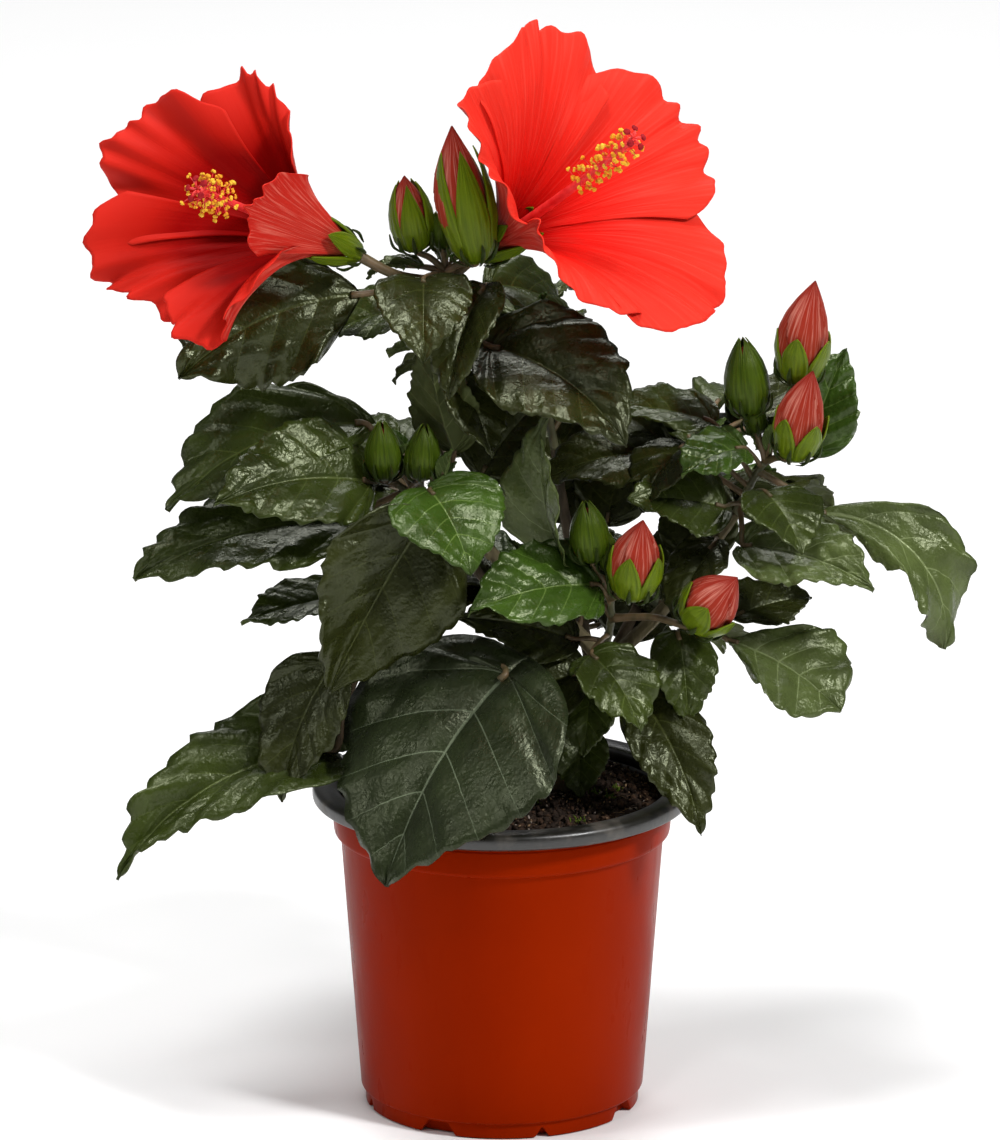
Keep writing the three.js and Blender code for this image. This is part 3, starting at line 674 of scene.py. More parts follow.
def addCrumb(heap, centre, size, random, paint):
    jitter = crumbCorners * (0.75 + 0.5 * random.random((12, 1))) * size
    addFaces(heap, centre + jitter @ turnedAt(random).T, tris=crumbTris, triPaint=paint)


def spotOnMix(random, lift=0.0):
    radius = (mix["edgeRadius"] - 1.5) * math.sqrt(random.random())
    turn = 2 * math.pi * random.random()
    return np.array([radius * math.cos(turn), radius * math.sin(turn), mixHeight(radius) + lift])


def scatterCrumbs(heap, count, shape, form, random):
    for _ in range(count):
        size = (form["least"] + form["spread"] * random.random() ** form["power"]) * np.array(shape)
        spot = spotOnMix(random, form["lift"][0] + form["lift"][1] * random.random())
        addCrumb(heap, spot, size, random, int(random.random() < form["pale"]))


def makeMixDetails():
    random = np.random.default_rng(41)
    crumbs, bits, moss = newHeap(), newHeap(), newHeap()
    scatterCrumbs(crumbs, mix["crumbs"], (1.3, 0.9, 0.7), mix["crumbForm"], random)
    scatterCrumbs(bits, mix["specks"], (1.5, 0.8, 0.5), mix["speckForm"], random)
    for _ in range(mix["fibres"]):
        start = spotOnMix(random, 0.6)
        step = heading(360 * random.random(), 14 * random.random()) * (3 + 5 * random.random())
        bow = start + step * 0.5 + random.normal(size=3) * 0.8
        path = smoothCurve([start, bow, start + step], 7)
        addTube(bits, path, np.full(7, 0.14), 3, 0)
    for _ in range(mix["mossTufts"]):
        centre = spotOnMix(random, 0.3)
        for _ in range(mix["fronds"]):
            foot = centre + random.normal(size=3) * (1.3, 1.3, 0.2)
            lean = heading(360 * random.random(), 35 + 50 * random.random())
            tip = foot + lean * (0.8 + 1.2 * random.random())
            addTube(moss, np.array([foot, (foot + tip) / 2, tip]), [0.22, 0.28, 0.05], 4, 0)
    dark = soilFinish("darkCrumb", (0.014, 0.009, 0.006), (0.055, 0.034, 0.024))
    brown = soilFinish("brownCrumb", (0.035, 0.018, 0.01), (0.09, 0.05, 0.03))
    straw = soilFinish("strawBit", (0.22, 0.13, 0.07), (0.36, 0.24, 0.14))
    grit = soilFinish("paleGrit", (0.30, 0.24, 0.20), (0.5, 0.42, 0.36))
    green = soilFinish("mossGreen", (0.07, 0.12, 0.01), (0.14, 0.2, 0.02))
    makePiece("mixCrumbs", crumbs, [dark, brown], "potting_mix", ["potting_mix"])
    makePiece("mixBits", bits, [straw, grit], "potting_mix", ["potting_mix"])
    makePiece("mossTufts", moss, [green], "potting_mix", ["potting_mix"])


makeMixBed()
makeMixDetails()
print("potting mix laid")


trunk = {
    "path": [(19, -1, 104), (21, 0, 114), (27, 3, 136), (34, 4, 158)],
    "foot": 3.9, "tip": 3.0, "flare": 2.6, "flareFrom": 0.15, "flareReach": 0.12,
    "roundFrom": 0.97, "rounding": 12,
}
boughs = {
    "bough_leader": dict(
        path=[(34, 4, 157), (12, 3, 180), (-14, 2, 206), (-22, 3, 230), (-22, 4, 252.5)], radius=(2.7, 1.7)),
    "bough_right": dict(path=[(32, 4, 151), (56, 4, 175), (80, 2, 208.5)], radius=(2.5, 1.7)),
    "bough_centre": dict(path=[(31, 4, 150), (34, -2, 156), (35, -8, 162.5)], radius=(2.1, 1.6)),
    "bough_low_right": dict(path=[(30, 4, 145), (44, 0, 151), (57.5, -4, 159.5)], radius=(2.0, 1.5)),
    "bough_low_left": dict(path=[(27, 3, 137), (9, -2, 151), (-10.5, -8, 161.5)], radius=(2.2, 1.6)),
    "bough_back_left": dict(path=[(29, 4, 142), (10, 20, 160), (-12, 32, 184)], radius=(2.2, 1.5)),
    "bough_back_right": dict(path=[(30, 4, 144), (44, 20, 165), (58, 34, 190)], radius=(2.2, 1.5)),
    "bough_back_top": dict(path=[(31, 4, 150), (24, 20, 188), (18, 24, 226)], radius=(2.2, 1.4)),
    "bough_low_back": dict(path=[(25, 2, 130), (22, 20, 138), (18, 36, 150)], radius=(2.0, 1.5)),
    "bough_front": dict(path=[(-12, 2, 204), (-15, -4, 209), (-17, -8, 213.5)], radius=(1.6, 1.3)),
    "bough_left": dict(path=[(-17, 2, 211), (-21, 0, 214), (-25, -3, 215.6)], radius=(1.6, 1.3)),
    "pruned_stub": dict(path=[(28, 4, 139), (43, 0, 142), (59, -5, 137)], radius=(2.4, 2.2)),
}
bark = {
    "sides": 26, "spacing": 0.7, "furrow": 0.16, "furrowRows": 16,
    "ringEvery": 17.0, "ringFrom": 6, "ringAt": 8, "ringHigh": 0.06, "ringWide": 1.1,
    "collar": 0.35, "collarReach": 3,
}
youngLimbs = ("bough_right", "bough_leader")


# Furrows that run with the limb, and low rings where leaves once stood.
def barkRadius(base, length, random):
    rows = len(base)
    span = bark["furrowRows"]
    grain = random.random((rows + span, bark["sides"]))
    smooth = np.stack([grain[row:row + span].mean(axis=0) for row in range(rows)])
    smooth = (smooth + np.roll(smooth, 1, axis=1)) / 2
    smooth = (smooth - smooth.mean()) / smooth.std()
    places = np.linspace(0, length, rows)
    fromRing = (places + bark["ringFrom"]) % bark["ringEvery"] - bark["ringAt"]
    rings = np.exp(-(fromRing / bark["ringWide"]) ** 2)
    furrows = bark["furrow"] * smooth * (base[:, None] / 3)
    return base[:, None] * (1 + bark["ringHigh"] * rings[:, None]) + furrows


def limbLength(path):
    return sum(math.dist(a, b) for a, b in zip(path, path[1:]))


def barkFinish(name, dark, light):
    finish = newFinish(name, dark, 0.8, specular=0.3)
    furrows = pattern(finish, "ShaderNodeTexNoise", 260.0, stretch=(1.0, 1.0, 0.25), detail=8.0)
    feed(finish, ramp(finish, furrows, [(0.38, dark), (0.66, light)]), "Base Color")
    fine = pattern(finish, "ShaderNodeTexNoise", 1500.0, detail=4.0)
    emboss(finish, (furrows, 0.0006), (fine, 0.00012))
    return finish


def makeLimbs():
    random = np.random.default_rng(7)
    limbs = newHeap()
    length = limbLength(trunk["path"])
    rows = int(length / bark["spacing"])
    share = np.linspace(0, 1, rows)
    base = trunk["foot"] + (trunk["tip"] - trunk["foot"]) * share
    base += trunk["flare"] * np.exp(-np.maximum(share - trunk["flareFrom"], 0) / trunk["flareReach"])
    pastRound = share - trunk["roundFrom"]
    base *= np.where(pastRound > 0, 1 - pastRound * trunk["rounding"], 1)
    addTube(limbs, smoothCurve(trunk["path"], rows), barkRadius(base, length, random), bark["sides"], 0)
    for name, bough in boughs.items():
        length = limbLength(bough["path"])
        rows = max(int(length / bark["spacing"]), 12)
        share = np.linspace(0, 1, rows)
        start, end = bough["radius"]
        base = start + (end - start) * share
        if name == "pruned_stub":
            paint, endPaint = 3, 2
        else:
            base = base * (1 + bark["collar"] * np.exp(-share * length / bark["collarReach"]))
            paint = endPaint = int(start < 1.9 or name in youngLimbs)
        radius = barkRadius(base, length, random)
        addTube(limbs, smoothCurve(bough["path"], rows), radius, bark["sides"], paint, endPaint)
    finishes = [
        # The grey bark is darkened, partly its own dark colour and partly painted shade where the trunk
        # stands under the crown.
        barkFinish("greyBark", (0.055, 0.042, 0.026), (0.14, 0.105, 0.068)),
        barkFinish("youngBark", (0.075, 0.06, 0.03), (0.17, 0.14, 0.07)),
        barkFinish("cutWood", (0.30, 0.19, 0.10), (0.42, 0.30, 0.18)),
        barkFinish("stubBark", (0.17, 0.09, 0.045), (0.33, 0.2, 0.11)),
    ]
    makePiece("barkLimbs", limbs, finishes, "bark", limbNodes)


makeLimbs()
print("trunk and boughs grown")


# A leaf leaves its stem at the share "at" of the stem. Its stalk turns and rises by these angles and
# is "reach" long. The blade swings on from the stalk's turn, starts at "pitch", and droops, rolls,
# twists and folds by these angles. A low peak puts its widest place near the base. Tone picks its
# green. Wave ruffles its edge, puff swells it between the veins, and lobe draws its base back.
leafDefaults = dict(
    swing=0, droop=40, roll=0, fold=14, tone="mid", wave=1.0, puff=1.0, twist=0, lobe=0.05, peak=0.62)
sprays = {
    "top_spray": dict(
        bough="bough_leader",
        stem=[(-20, 5, 274), (-19, 4, 294)],
        leaves=[
            dict(at=0.76, turn=-162, rise=6, reach=30, pitch=2, droop=46, long=71, wide=46, roll=-60,
                 fold=-12, peak=0.9, tone="deep", wave=2.2, puff=1.9, lobe=0.0),
            dict(at=0.6, turn=172, rise=8, reach=12, pitch=-5, droop=30, long=32, wide=26, roll=-30),
            dict(at=0.95, turn=-118, rise=8, reach=16, swing=28, pitch=-8, droop=60, long=38, wide=34,
                 tone="deep"),
            dict(at=0.85, turn=-43, rise=8, reach=18, swing=-74, pitch=-24, droop=55, long=44, wide=30,
                 tone="deep", fold=24),
            dict(at=0.75, turn=28, rise=8, reach=18, pitch=-4, droop=46, long=38, wide=30, roll=30),
            dict(at=0.45, turn=-29, rise=-8, reach=19, swing=-6, pitch=0, droop=50, long=64, wide=49,
                 roll=32, tone="deep", puff=1.3),
        ],
        buds=[
            dict(at=0.98, turn=-152, rise=37, reach=14, pitch=80, long=27, wide=15.6, cover=0.92),
            dict(at=0.98, turn=-57, rise=20, reach=20.4, swing=-123, pitch=80, long=48, wide=20,
                 cover=0.84),
            dict(at=0.99, turn=-110, rise=62, reach=10, pitch=74, long=14, wide=7, cover=1),
        ],
    ),
    "left_spray": dict(
        bough="bough_left",
        stem=[(-32, -8, 219), (-37, -10, 223)],
        leaves=[
            dict(at=0.3, turn=160, rise=51, reach=30, swing=32, pitch=7, droop=57, long=77, wide=44,
                 roll=-32, peak=0.8),
            dict(at=0.9, turn=-150, rise=12, reach=10, pitch=18, droop=36, long=62, wide=42, roll=-48),
            dict(at=0.6, turn=-176, rise=-30, reach=21, swing=4, pitch=6, droop=38, long=79, wide=44,
                 roll=-34),
        ],
        buds=[
            dict(at=1, turn=-120, rise=20, reach=6, pitch=84, long=21, wide=13, cover=1),
            dict(at=0.55, turn=-60, rise=35, reach=11, pitch=84, long=20, wide=13, cover=1),
        ],
    ),
    "front_spray": dict(
        bough="bough_front",
        stem=[(-19, -14, 218), (-21, -20, 222)],
        leaves=[
            dict(at=0.97, turn=-120, rise=20, reach=8, swing=58, pitch=-14, droop=45, long=39, wide=42,
                 roll=12, tone="bright", puff=1.4),
            dict(at=0.6, turn=-114, rise=-13, reach=16, swing=-46, pitch=-54, droop=10, long=68,
                 wide=56, roll=-88, fold=20, tone="deep", puff=1.2),
            dict(at=0.6, turn=50, rise=71, reach=17, swing=-203, pitch=67, droop=-20, long=42, wide=27,
                 roll=40, tone="deep"),
            dict(at=0.2, turn=40, rise=29, reach=16, swing=-28, pitch=60, droop=20, long=34, wide=30,
                 roll=50, tone="deep"),
        ],
        buds=[],
    ),
    "low_left_spray": dict(
        bough="bough_low_left",
        stem=[(-33, -13, 165), (-52, -15, 160)],
        leaves=[
            dict(at=0.06, turn=-66, rise=4, reach=37, swing=-80, pitch=-35, droop=37, long=85, wide=97,
                 roll=-13, tone="slate", wave=0.8, fold=6, lobe=0.12),
            dict(at=0.97, turn=-165, rise=4, reach=7, swing=22, pitch=-44, droop=40, long=52, wide=34,
                 roll=-24, tone="deep"),
            dict(at=0.9, turn=172, rise=-74, reach=34, swing=26, pitch=5, droop=62, long=92, wide=46,
                 roll=-36, peak=0.42, tone="mid", fold=24, lobe=0.1),
            dict(at=0.6, turn=159, rise=43, reach=25, swing=31, pitch=-2, droop=20, long=38, wide=29,
                 roll=-16),
        ],
        buds=[],
    ),
    "centre_spray": dict(
        bough="bough_centre",
        stem=[(37, -14, 174), (37, -20, 185)],
        leaves=[
            dict(at=0.9, turn=-124, rise=46, reach=11, swing=-24, pitch=12, droop=28, long=52, wide=38,
                 roll=-38, tone="bright", puff=2.0, wave=1.8),
            dict(at=0.65, turn=-172, rise=50, reach=25, swing=187, pitch=118, droop=44, long=56,
                 wide=33, roll=26, fold=30, wave=1.2, tone="pale"),
            dict(at=0.3, turn=-110, rise=-8, reach=18, swing=59, pitch=-14, droop=50, long=36, wide=32,
                 roll=10, wave=2.0),
            dict(at=0.15, turn=-160, rise=10, reach=12, swing=-8, pitch=24, droop=20, long=42, wide=28,
                 roll=-50, tone="deep"),
            dict(at=0.1, turn=-125, rise=-24, reach=16, swing=-40, pitch=-6, droop=30, long=46,
                 wide=34, roll=-44, tone="deep"),
            dict(at=0.05, turn=-112, rise=-30, reach=13, swing=10, pitch=-40, droop=36, long=30,
                 wide=26, roll=8),
        ],
        buds=[
            dict(at=0.99, turn=-136, rise=58, reach=17, pitch=82, long=22, wide=14, cover=1),
            dict(at=0.99, turn=-58, rise=12, reach=13, pitch=76, long=30, wide=19, cover=0.64),
            dict(at=0.6, turn=-27, rise=2, reach=30, swing=8, pitch=48, long=25, wide=21, cover=0.55),
            dict(at=0.99, turn=-100, rise=65, reach=12, pitch=80, long=14, wide=8, cover=1),
        ],
    ),
    "right_spray": dict(
        bough="bough_right",
        stem=[(85, 0, 220), (90, -3, 229)],
        leaves=[
            dict(at=0.85, turn=-125, rise=40, reach=14, swing=-22, pitch=6, droop=40, long=27, wide=26,
                 roll=-20, tone="bright", puff=1.8, wave=2.0),
            dict(at=0.9, turn=23, rise=9, reach=17, swing=-7, pitch=74, droop=10, long=38, wide=28,
                 roll=66, tone="bright", puff=1.8, wave=2.0),
            dict(at=0.3, turn=-57, rise=18, reach=13, pitch=-16, droop=40, long=29, wide=32),
            dict(at=0.12, turn=-85, rise=-50, reach=15, swing=58, pitch=6, droop=32, long=51, wide=34,
                 roll=32, tone="pale", puff=1.6),
            dict(at=0.75, turn=12, rise=-38, reach=26, swing=-20, pitch=6, droop=104, long=75, wide=32,
                 roll=36, peak=1.35, tone="pale", wave=2.0),
            dict(at=0.15, turn=-130, rise=5, reach=9, swing=-30, pitch=20, droop=20, long=36, wide=34,
                 roll=-40),
            dict(at=0.6, turn=158, rise=51, reach=24, swing=15, pitch=20, droop=25, long=36, wide=26,
                 roll=-20),
            dict(at=0.45, turn=178, rise=35, reach=26, swing=47, pitch=-13, droop=60, long=31, wide=28,
                 tone="deep"),
            dict(at=0.3, turn=170, rise=26, reach=30, swing=4, pitch=6, droop=40, long=46, wide=34,
                 roll=-30, tone="deep"),
        ],
        buds=[
            dict(at=0.98, turn=200, rise=70, reach=17.5, pitch=84, long=27.5, wide=16, cover=1),
            dict(at=0.99, turn=-18, rise=69, reach=29.5, pitch=80, long=37, wide=19, cover=0.5),
            dict(at=0.98, turn=-46, rise=12, reach=13, pitch=74, long=34, wide=18, cover=0.52),
            dict(at=0.99, turn=190, rise=72, reach=10, pitch=82, long=13, wide=8, cover=1),
        ],
    ),
    "low_right_spray": dict(
        bough="bough_low_right",
        stem=[(64, -8, 166), (70, -10, 171)],
        leaves=[
            dict(at=0.95, turn=-14, rise=-20, reach=9, swing=-10, pitch=-9, droop=34, long=47, wide=43,
                 roll=25, peak=1.5, tone="pale", wave=1.6, puff=1.6),
            dict(at=0.8, turn=45, rise=10, reach=18, swing=-16, pitch=14, droop=18, long=31, wide=27,
                 roll=24, tone="deep"),
            dict(at=0.5, turn=-121, rise=38, reach=9, swing=44, pitch=-37, droop=50, long=34, wide=24),
            dict(at=0.12, turn=-132, rise=-32, reach=22, swing=78, pitch=-26, droop=46, long=56,
                 wide=29, roll=26, tone="deep"),
        ],
        buds=[],
    ),
}

# Smaller leaves deeper in the crown, on the boughs and on the sprays' stems.
innerLeaves = {
    "bough_right": [
        dict(at=0.62, turn=70, rise=30, reach=10, pitch=74, droop=24, long=34, wide=30, tone="deep"),
        dict(at=0.3, turn=60, rise=20, reach=12, pitch=60, droop=20, long=38, wide=32, tone="deep"),
        dict(at=0.85, turn=-95, rise=10, reach=9, swing=-40, pitch=-34, droop=30, long=32, wide=26,
             tone="deep"),
    ],
    "bough_leader": [
        dict(at=0.1, turn=60, rise=60, reach=40, pitch=70, droop=20, long=30, wide=30, tone="deep"),
    ],
    "bough_back_right": [
        dict(at=0.3, turn=50, rise=20, reach=8, pitch=60, droop=16, long=36, wide=36, tone="deep"),
    ],
    "bough_back_top": [
        dict(at=0.62, turn=100, rise=30, reach=8, pitch=76, droop=10, long=44, wide=36, tone="deep"),
    ],
    "bough_low_left": [
        dict(at=0.03, turn=-88, rise=-20, reach=11, pitch=-52, droop=24, long=24, wide=21),
    ],
    "top_spray": [
        dict(at=0.3, turn=-60, rise=-24, reach=15, pitch=-36, droop=24, long=32, wide=24, tone="deep"),
        dict(at=0.97, turn=-170, rise=18, reach=9, pitch=30, droop=70, long=17, wide=9, fold=30),
        dict(at=0.9, turn=-150, rise=5, reach=10, pitch=10, droop=60, long=18, wide=10),
        dict(at=0.95, turn=170, rise=10, reach=14, pitch=20, droop=80, long=16, wide=9),
    ],
}

# The sprays that the seeded rule fills: the leaves turn by the golden angle up the stem. No leaf
# grows into the open places, given by their low and high corners.
backRule = {
    "seed": 1999, "goldenAngle": 137.5, "firstAt": 0.08, "atSpan": 0.9, "atStep": 0.618,
    "tries": 70, "spacing": 17.0, "tones": ("deep", "mid", "deep", "mid", "bright"),
    "open": [((22, 50, 250), (50, 100, 285)), ((-12, 76, 160), (14, 110, 190))],
}
fineRule = {
    "tries": 160, "spacing": 9.5, "shrink": 0.72, "most": 9,
    "open": [((36, -20, 224), (90, 110, 300)), ((-14, 0, 168), (22, 110, 216))],
}
backSprays = {
    "back_left_spray": dict(
        bough="bough_back_left", stem=[(-24, 42, 196), (-30, 44, 214)], count=10,
        low=(-98, 12, 132), high=(20, 105, 226)),
    "back_top_spray": dict(
        bough="bough_back_top", stem=[(14, 26, 248), (10, 24, 266)], count=10,
        low=(-40, 14, 196), high=(66, 88, 278)),
    "back_right_spray": dict(
        bough="bough_back_right", stem=[(66, 40, 206), (70, 42, 222)], count=9,
        low=(34, 12, 132), high=(122, 105, 236)),
    "low_back_spray": dict(
        bough="bough_low_back", stem=[(14, 52, 160), (12, 62, 170)], count=7,
        low=(-70, 44, 118), high=(90, 110, 182)),
}

leafForm = {
    "veins": [0.10, 0.24, 0.40, 0.55, 0.69, 0.83],  # where each side vein sits, base to tip
    "veinSlant": 1.4,
    "gapSteps": 8,
    "columns": 13,
    "fan": 0.24,  # the veins below this share all leave from the blade's base
    "thickness": 0.5,
    "veinWide": 0.45,
    "midribWide": 0.58,
    "teeth": 10,
    "toothDepth": 0.031,
    "toothPeak": 0.78,
    "puffDepth": 0.0075,
    "crinkleDepth": 0.0042,
    "curl": 0.10,
    "ruffle": 0.030,
    "dipDepth": 0.012,
    "dipWide": 0.03,
    "tipDrawn": 0.42,
    "leastHalf": 0.3,
}


# The blade widens quickly from its base and is drawn out at its tip.
def bladeHalfWidth(share, leaf):
    share = np.clip(share, 0, 1)
    drawn = 1 - leafForm["tipDrawn"] * np.exp(-((1 - share) / 0.10) ** 2)
    broad = np.maximum(np.sin(np.pi * share ** leaf["peak"]), 0) ** 0.85
    return np.maximum(leaf["wide"] / 2 * broad * drawn, leafForm["leastHalf"])


# Points of the midrib with the blade's side and normal there. The midrib is an arc that droops.
def midribAt(base, turn, leaf, share):
    bend = math.radians(leaf["droop"] or 0.01)
    start = math.radians(leaf["pitch"])
    now = start - bend * share
    out = leaf["long"] / bend * (math.sin(start) - np.sin(now))
    up = leaf["long"] / bend * (np.cos(now) - math.cos(start))
    flat = heading(turn, 0)
    level = np.array([-flat[1], flat[0], 0])
    point = base + out[..., None] * flat + up[..., None] * np.array([0, 0, 1.0])
    along = np.cos(now)[..., None] * flat + np.sin(now)[..., None] * np.array([0, 0, 1.0])
    upright = np.cross(along, level)
    roll = np.radians(leaf["roll"] + leaf["twist"] * (share - 0.3))[..., None]
    side = level * np.cos(roll) + upright * np.sin(roll)
    normal = upright * np.cos(roll) - level * np.sin(roll)
    return point, side, normal


# The rows of a blade follow its side veins. Each vein is a narrow strip between two rows.
def bladeRows():
    rows = []
    stops = [0.0, *leafForm["veins"], 1.0]
    steps = leafForm["gapSteps"]
    for index, (low, high) in enumerate(zip(stops, stops[1:])):
        for step in range(steps + 1):
            share = step / steps
            edge = (0 if index == 0 else 1) * (1 - share) - (0 if index == len(stops) - 2 else 1) * share
            rows.append((low + (high - low) * share, edge, math.sin(math.pi * share), index))
    return np.array(rows).T


rowPlace, rowEdge, rowPuff, rowGap = bladeRows()


# Coarse, uneven teeth: each rises slowly towards the tip and then falls away.
def toothHeight(margin, random):
    widths = 0.6 + 0.8 * random.random(leafForm["teeth"])
    edges = np.concatenate([[0], np.cumsum(widths) / widths.sum()])
    sizes = 0.35 + 0.75 * random.random(leafForm["teeth"])
    index = np.clip(np.searchsorted(edges, margin, side="right") - 1, 0, leafForm["teeth"] - 1)
    phase = (margin - edges[index]) / (edges[index + 1] - edges[index])
    peak = leafForm["toothPeak"]
    falling = np.clip((1 - phase) / (1 - peak), 0, 1)
    rise = np.where(phase < peak, np.sin(np.pi / 2 * phase / peak) ** 1.2, falling)
    reach = np.clip((margin - 0.22) / 0.2, 0, 1) * np.clip((1 - margin) / 0.06, 0, 1)
    return (rise - 0.4) * sizes[index] * reach


# One of the crossing waves that wrinkle a blade: each is finer and lower than the one before.
def crinkleWave(share, out, order, turn, phase):
    along = share * (18 + 11 * order) * math.cos(turn)
    across = out * (9 + 5 * order) * math.sin(turn) * 2
    return np.sin(along + across + phase) / (1 + 0.35 * order)


def addBlade(heap, base, turn, leaf, random):
    long, wide = leaf["long"], leaf["wide"]
    count = leafForm["columns"]
    fan = leafForm["fan"]
    centreShare = np.clip((rowPlace - fan) / (1 - fan), 0, 1)
    slant = leafForm["veinSlant"]
    halfWide = bladeHalfWidth(1 - (1 - rowPlace) ** slant, leaf)
    ribWide = leafForm["midribWide"] * (long / 60) * (1 - 0.85 * centreShare)
    firstColumn = np.clip(ribWide / halfWide, 0, 0.3)
    steps = np.concatenate([[0], np.linspace(0, 1, count)])
    out = firstColumn[:, None] + (1 - firstColumn[:, None]) * steps[None]
    out[:, 0] = 0
    veinHalf = leafForm["veinWide"] / 2 / long * (1 - 0.8 * out)
    place = np.clip(rowPlace[:, None] + rowEdge[:, None] * veinHalf, 0, 1)
    start = np.clip((place - fan) / (1 - fan), 0, 1)
    margin = 1 - (1 - place) ** slant
    acrossBase = bladeHalfWidth(margin, leaf) * out
    # the blade swells between its veins and dips along the midrib
    swell = leafForm["puffDepth"] * long * leaf["puff"] * rowPuff[:, None] * np.sqrt(out * (1.02 - out)) * 2
    dip = leafForm["dipDepth"] * long * np.exp(-acrossBase / (leafForm["dipWide"] * long))
    shares, offsets, lifts = [], [], []
    for hand in (-1, 1):
        phase = random.random(12) * 2 * np.pi
        tooth = leafForm["toothDepth"] * toothHeight(margin[:, -1], random)[:, None] * out ** 7
        shareOut = start + (margin - start) * out ** 1.2 + tooth * 0.5
        drawnBack = leaf["lobe"] * np.clip(1 - margin / 0.25, 0, 1) * out ** 2
        shareOut = np.clip(shareOut, -0.05, 1) - drawnBack
        acrossOut = acrossBase + tooth * long
        ruffle = leafForm["ruffle"] * long * leaf["wave"] * out ** 2.2 * (
            np.sin(2 * np.pi * 1.6 * margin + phase[0])
            + 0.45 * np.sin(2 * np.pi * 3.9 * margin + phase[1])
            + 0.25 * out * np.sin(2 * np.pi * 7.7 * margin + phase[2]))
        crinkle = sum(crinkleWave(shareOut, out, k, phase[3 + k], phase[7 + k]) for k in range(4))
        crinkle = leafForm["crinkleDepth"] * long * leaf["puff"] * crinkle * out ** 0.5
        folded = math.radians(leaf["fold"])
        cup = acrossOut * math.sin(folded) - leafForm["curl"] * acrossOut ** 2 / (wide / 2)
        swelling = swell * (1 + 0.35 * np.sin(rowGap[:, None] * 2.3 + phase[11]))
        lift = swelling + crinkle - dip + ruffle + cup
        order = slice(None, 0, -1) if hand < 0 else slice(None)
        shares.append(shareOut[:, order])
        offsets.append(hand * acrossOut[:, order] * math.cos(folded))
        lifts.append(lift[:, order])
    share, offset, lift = (np.concatenate(parts, axis=1) for parts in (shares, offsets, lifts))
    # the middle column belongs to both halves: it takes the mean of their lifts
    spine = count
    lift[:, spine] = (lift[:, spine - 1] + lift[:, spine + 1]) / 2 - 0.004 * long
    point, side, normal = midribAt(base, turn, leaf, share)
    top = point + side * offset[..., None] + normal * lift[..., None]
    outward = np.clip(np.abs(offset) / (wide / 2), 0, 1)
    thick = leafForm["thickness"] * (1 - 0.55 * outward)
    thick = thick + 0.3 * (np.abs(rowEdge) == 1)[:, None] * (1 - outward)
    thick[:, spine - 1:spine + 2] += 0.9 * (1 - 0.8 * share[:, spine - 1:spine + 2])
    under = top - normal * thick[..., None]
    isVein = np.zeros((len(rowPlace) - 1, top.shape[1] - 1), int)
    isVein[(rowEdge[:-1] == -1) & (rowEdge[1:] == 1)] = 1
    isVein[:, spine - 1:spine + 1] = 1
    addSheet(heap, top, under, isVein, isVein + 2, 0)


# Leaf tones: the upper side, its veins, the underside and its veins.
leafParts = ("Blade", "Vein", "Underside", "UndersideVein")
leafTones = {
    "deep": [(0.017, 0.020, 0.0035), (0.036, 0.042, 0.010), (0.045, 0.055, 0.016), (0.080, 0.095, 0.034)],
    "mid": [(0.025, 0.036, 0.005), (0.056, 0.074, 0.017), (0.056, 0.074, 0.020), (0.100, 0.122, 0.042)],
    "bright": [(0.028, 0.058, 0.006), (0.080, 0.128, 0.026), (0.068, 0.100, 0.026), (0.120, 0.160, 0.052)],
    # The pale tone is partly painted light: the leaves on the right that the key lamp lights most get a
    # paler albedo.
    "pale": [(0.058, 0.078, 0.021), (0.130, 0.160, 0.066), (0.085, 0.105, 0.038), (0.135, 0.155, 0.066)],
    "slate": [(0.013, 0.018, 0.0065), (0.080, 0.098, 0.060), (0.050, 0.064, 0.028), (0.090, 0.112, 0.054)],
}


# The upper side is glossy and the underside dull: low and high roughness, and strength of reflection.
glossy = {"low": 0.2, "high": 0.38, "specular": 0.4}
dull = {"low": 0.45, "high": 0.66, "specular": 0.2}


def leafFinish(name, shade, sheen):
    finish = newFinish(name, shade, sheen["low"], sheen["specular"], tint=(0.93, 1.0, 0.68))
    mottle = pattern(finish, "ShaderNodeTexNoise", 70.0, detail=5.0)
    mottled = ramp(finish, mottle, [(0.3, scaled(shade, 0.68)), (0.72, scaled(shade, 1.4))])
    feed(finish, mottled, "Base Color")
    cells = pattern(finish, "ShaderNodeTexVoronoi", 520.0)
    netting = pattern(finish, "ShaderNodeTexNoise", 230.0, detail=5.0)
    emboss(finish, (cells, 0.00013), (netting, 0.0003))
    roughen(finish, netting, sheen["low"], sheen["high"])
    return finish


def stalkEnd(start, part):
    return start + heading(part["turn"], part["rise"]) * part["reach"]


def addStalk(heap, start, end, into, radius, paint):
    middle = start + (end - start) * 0.55
    middle[2] += np.linalg.norm(end - start) * 0.06
    path = smoothCurve([start, middle, end, into], 16)
    share = np.linspace(0, 1, 16)
    width = radius * (1.15 - 0.15 * share + 0.35 * np.exp(-share * 12) + 0.2 * np.exp(-(1 - share) * 9))
    addTube(heap, path, width, 8, paint)


def stemPath(spray):
    tip = np.array(boughs[spray["bough"]]["path"][-1], float)
    foot = tip + unit(np.array(spray["stem"][0]) - tip) * 0.6
    return [foot, *spray["stem"]]


def bladePoints(start, leaf):
    base = stalkEnd(start, leaf)
    return midribAt(base, leaf["turn"] + leaf["swing"], leaf, np.array([0.5, 1.0]))[0]


class SeededDraw:
    def __init__(self, start):
        self.state = start

    def __call__(self):
        self.state = (self.state * 1664525 + 1013904223) % 4294967296
        return self.state / 4294967296


takenPoints = []


def standsIn(points, places):
    return any(((points > low) & (points < high)).all(axis=1).any() for low, high in places)


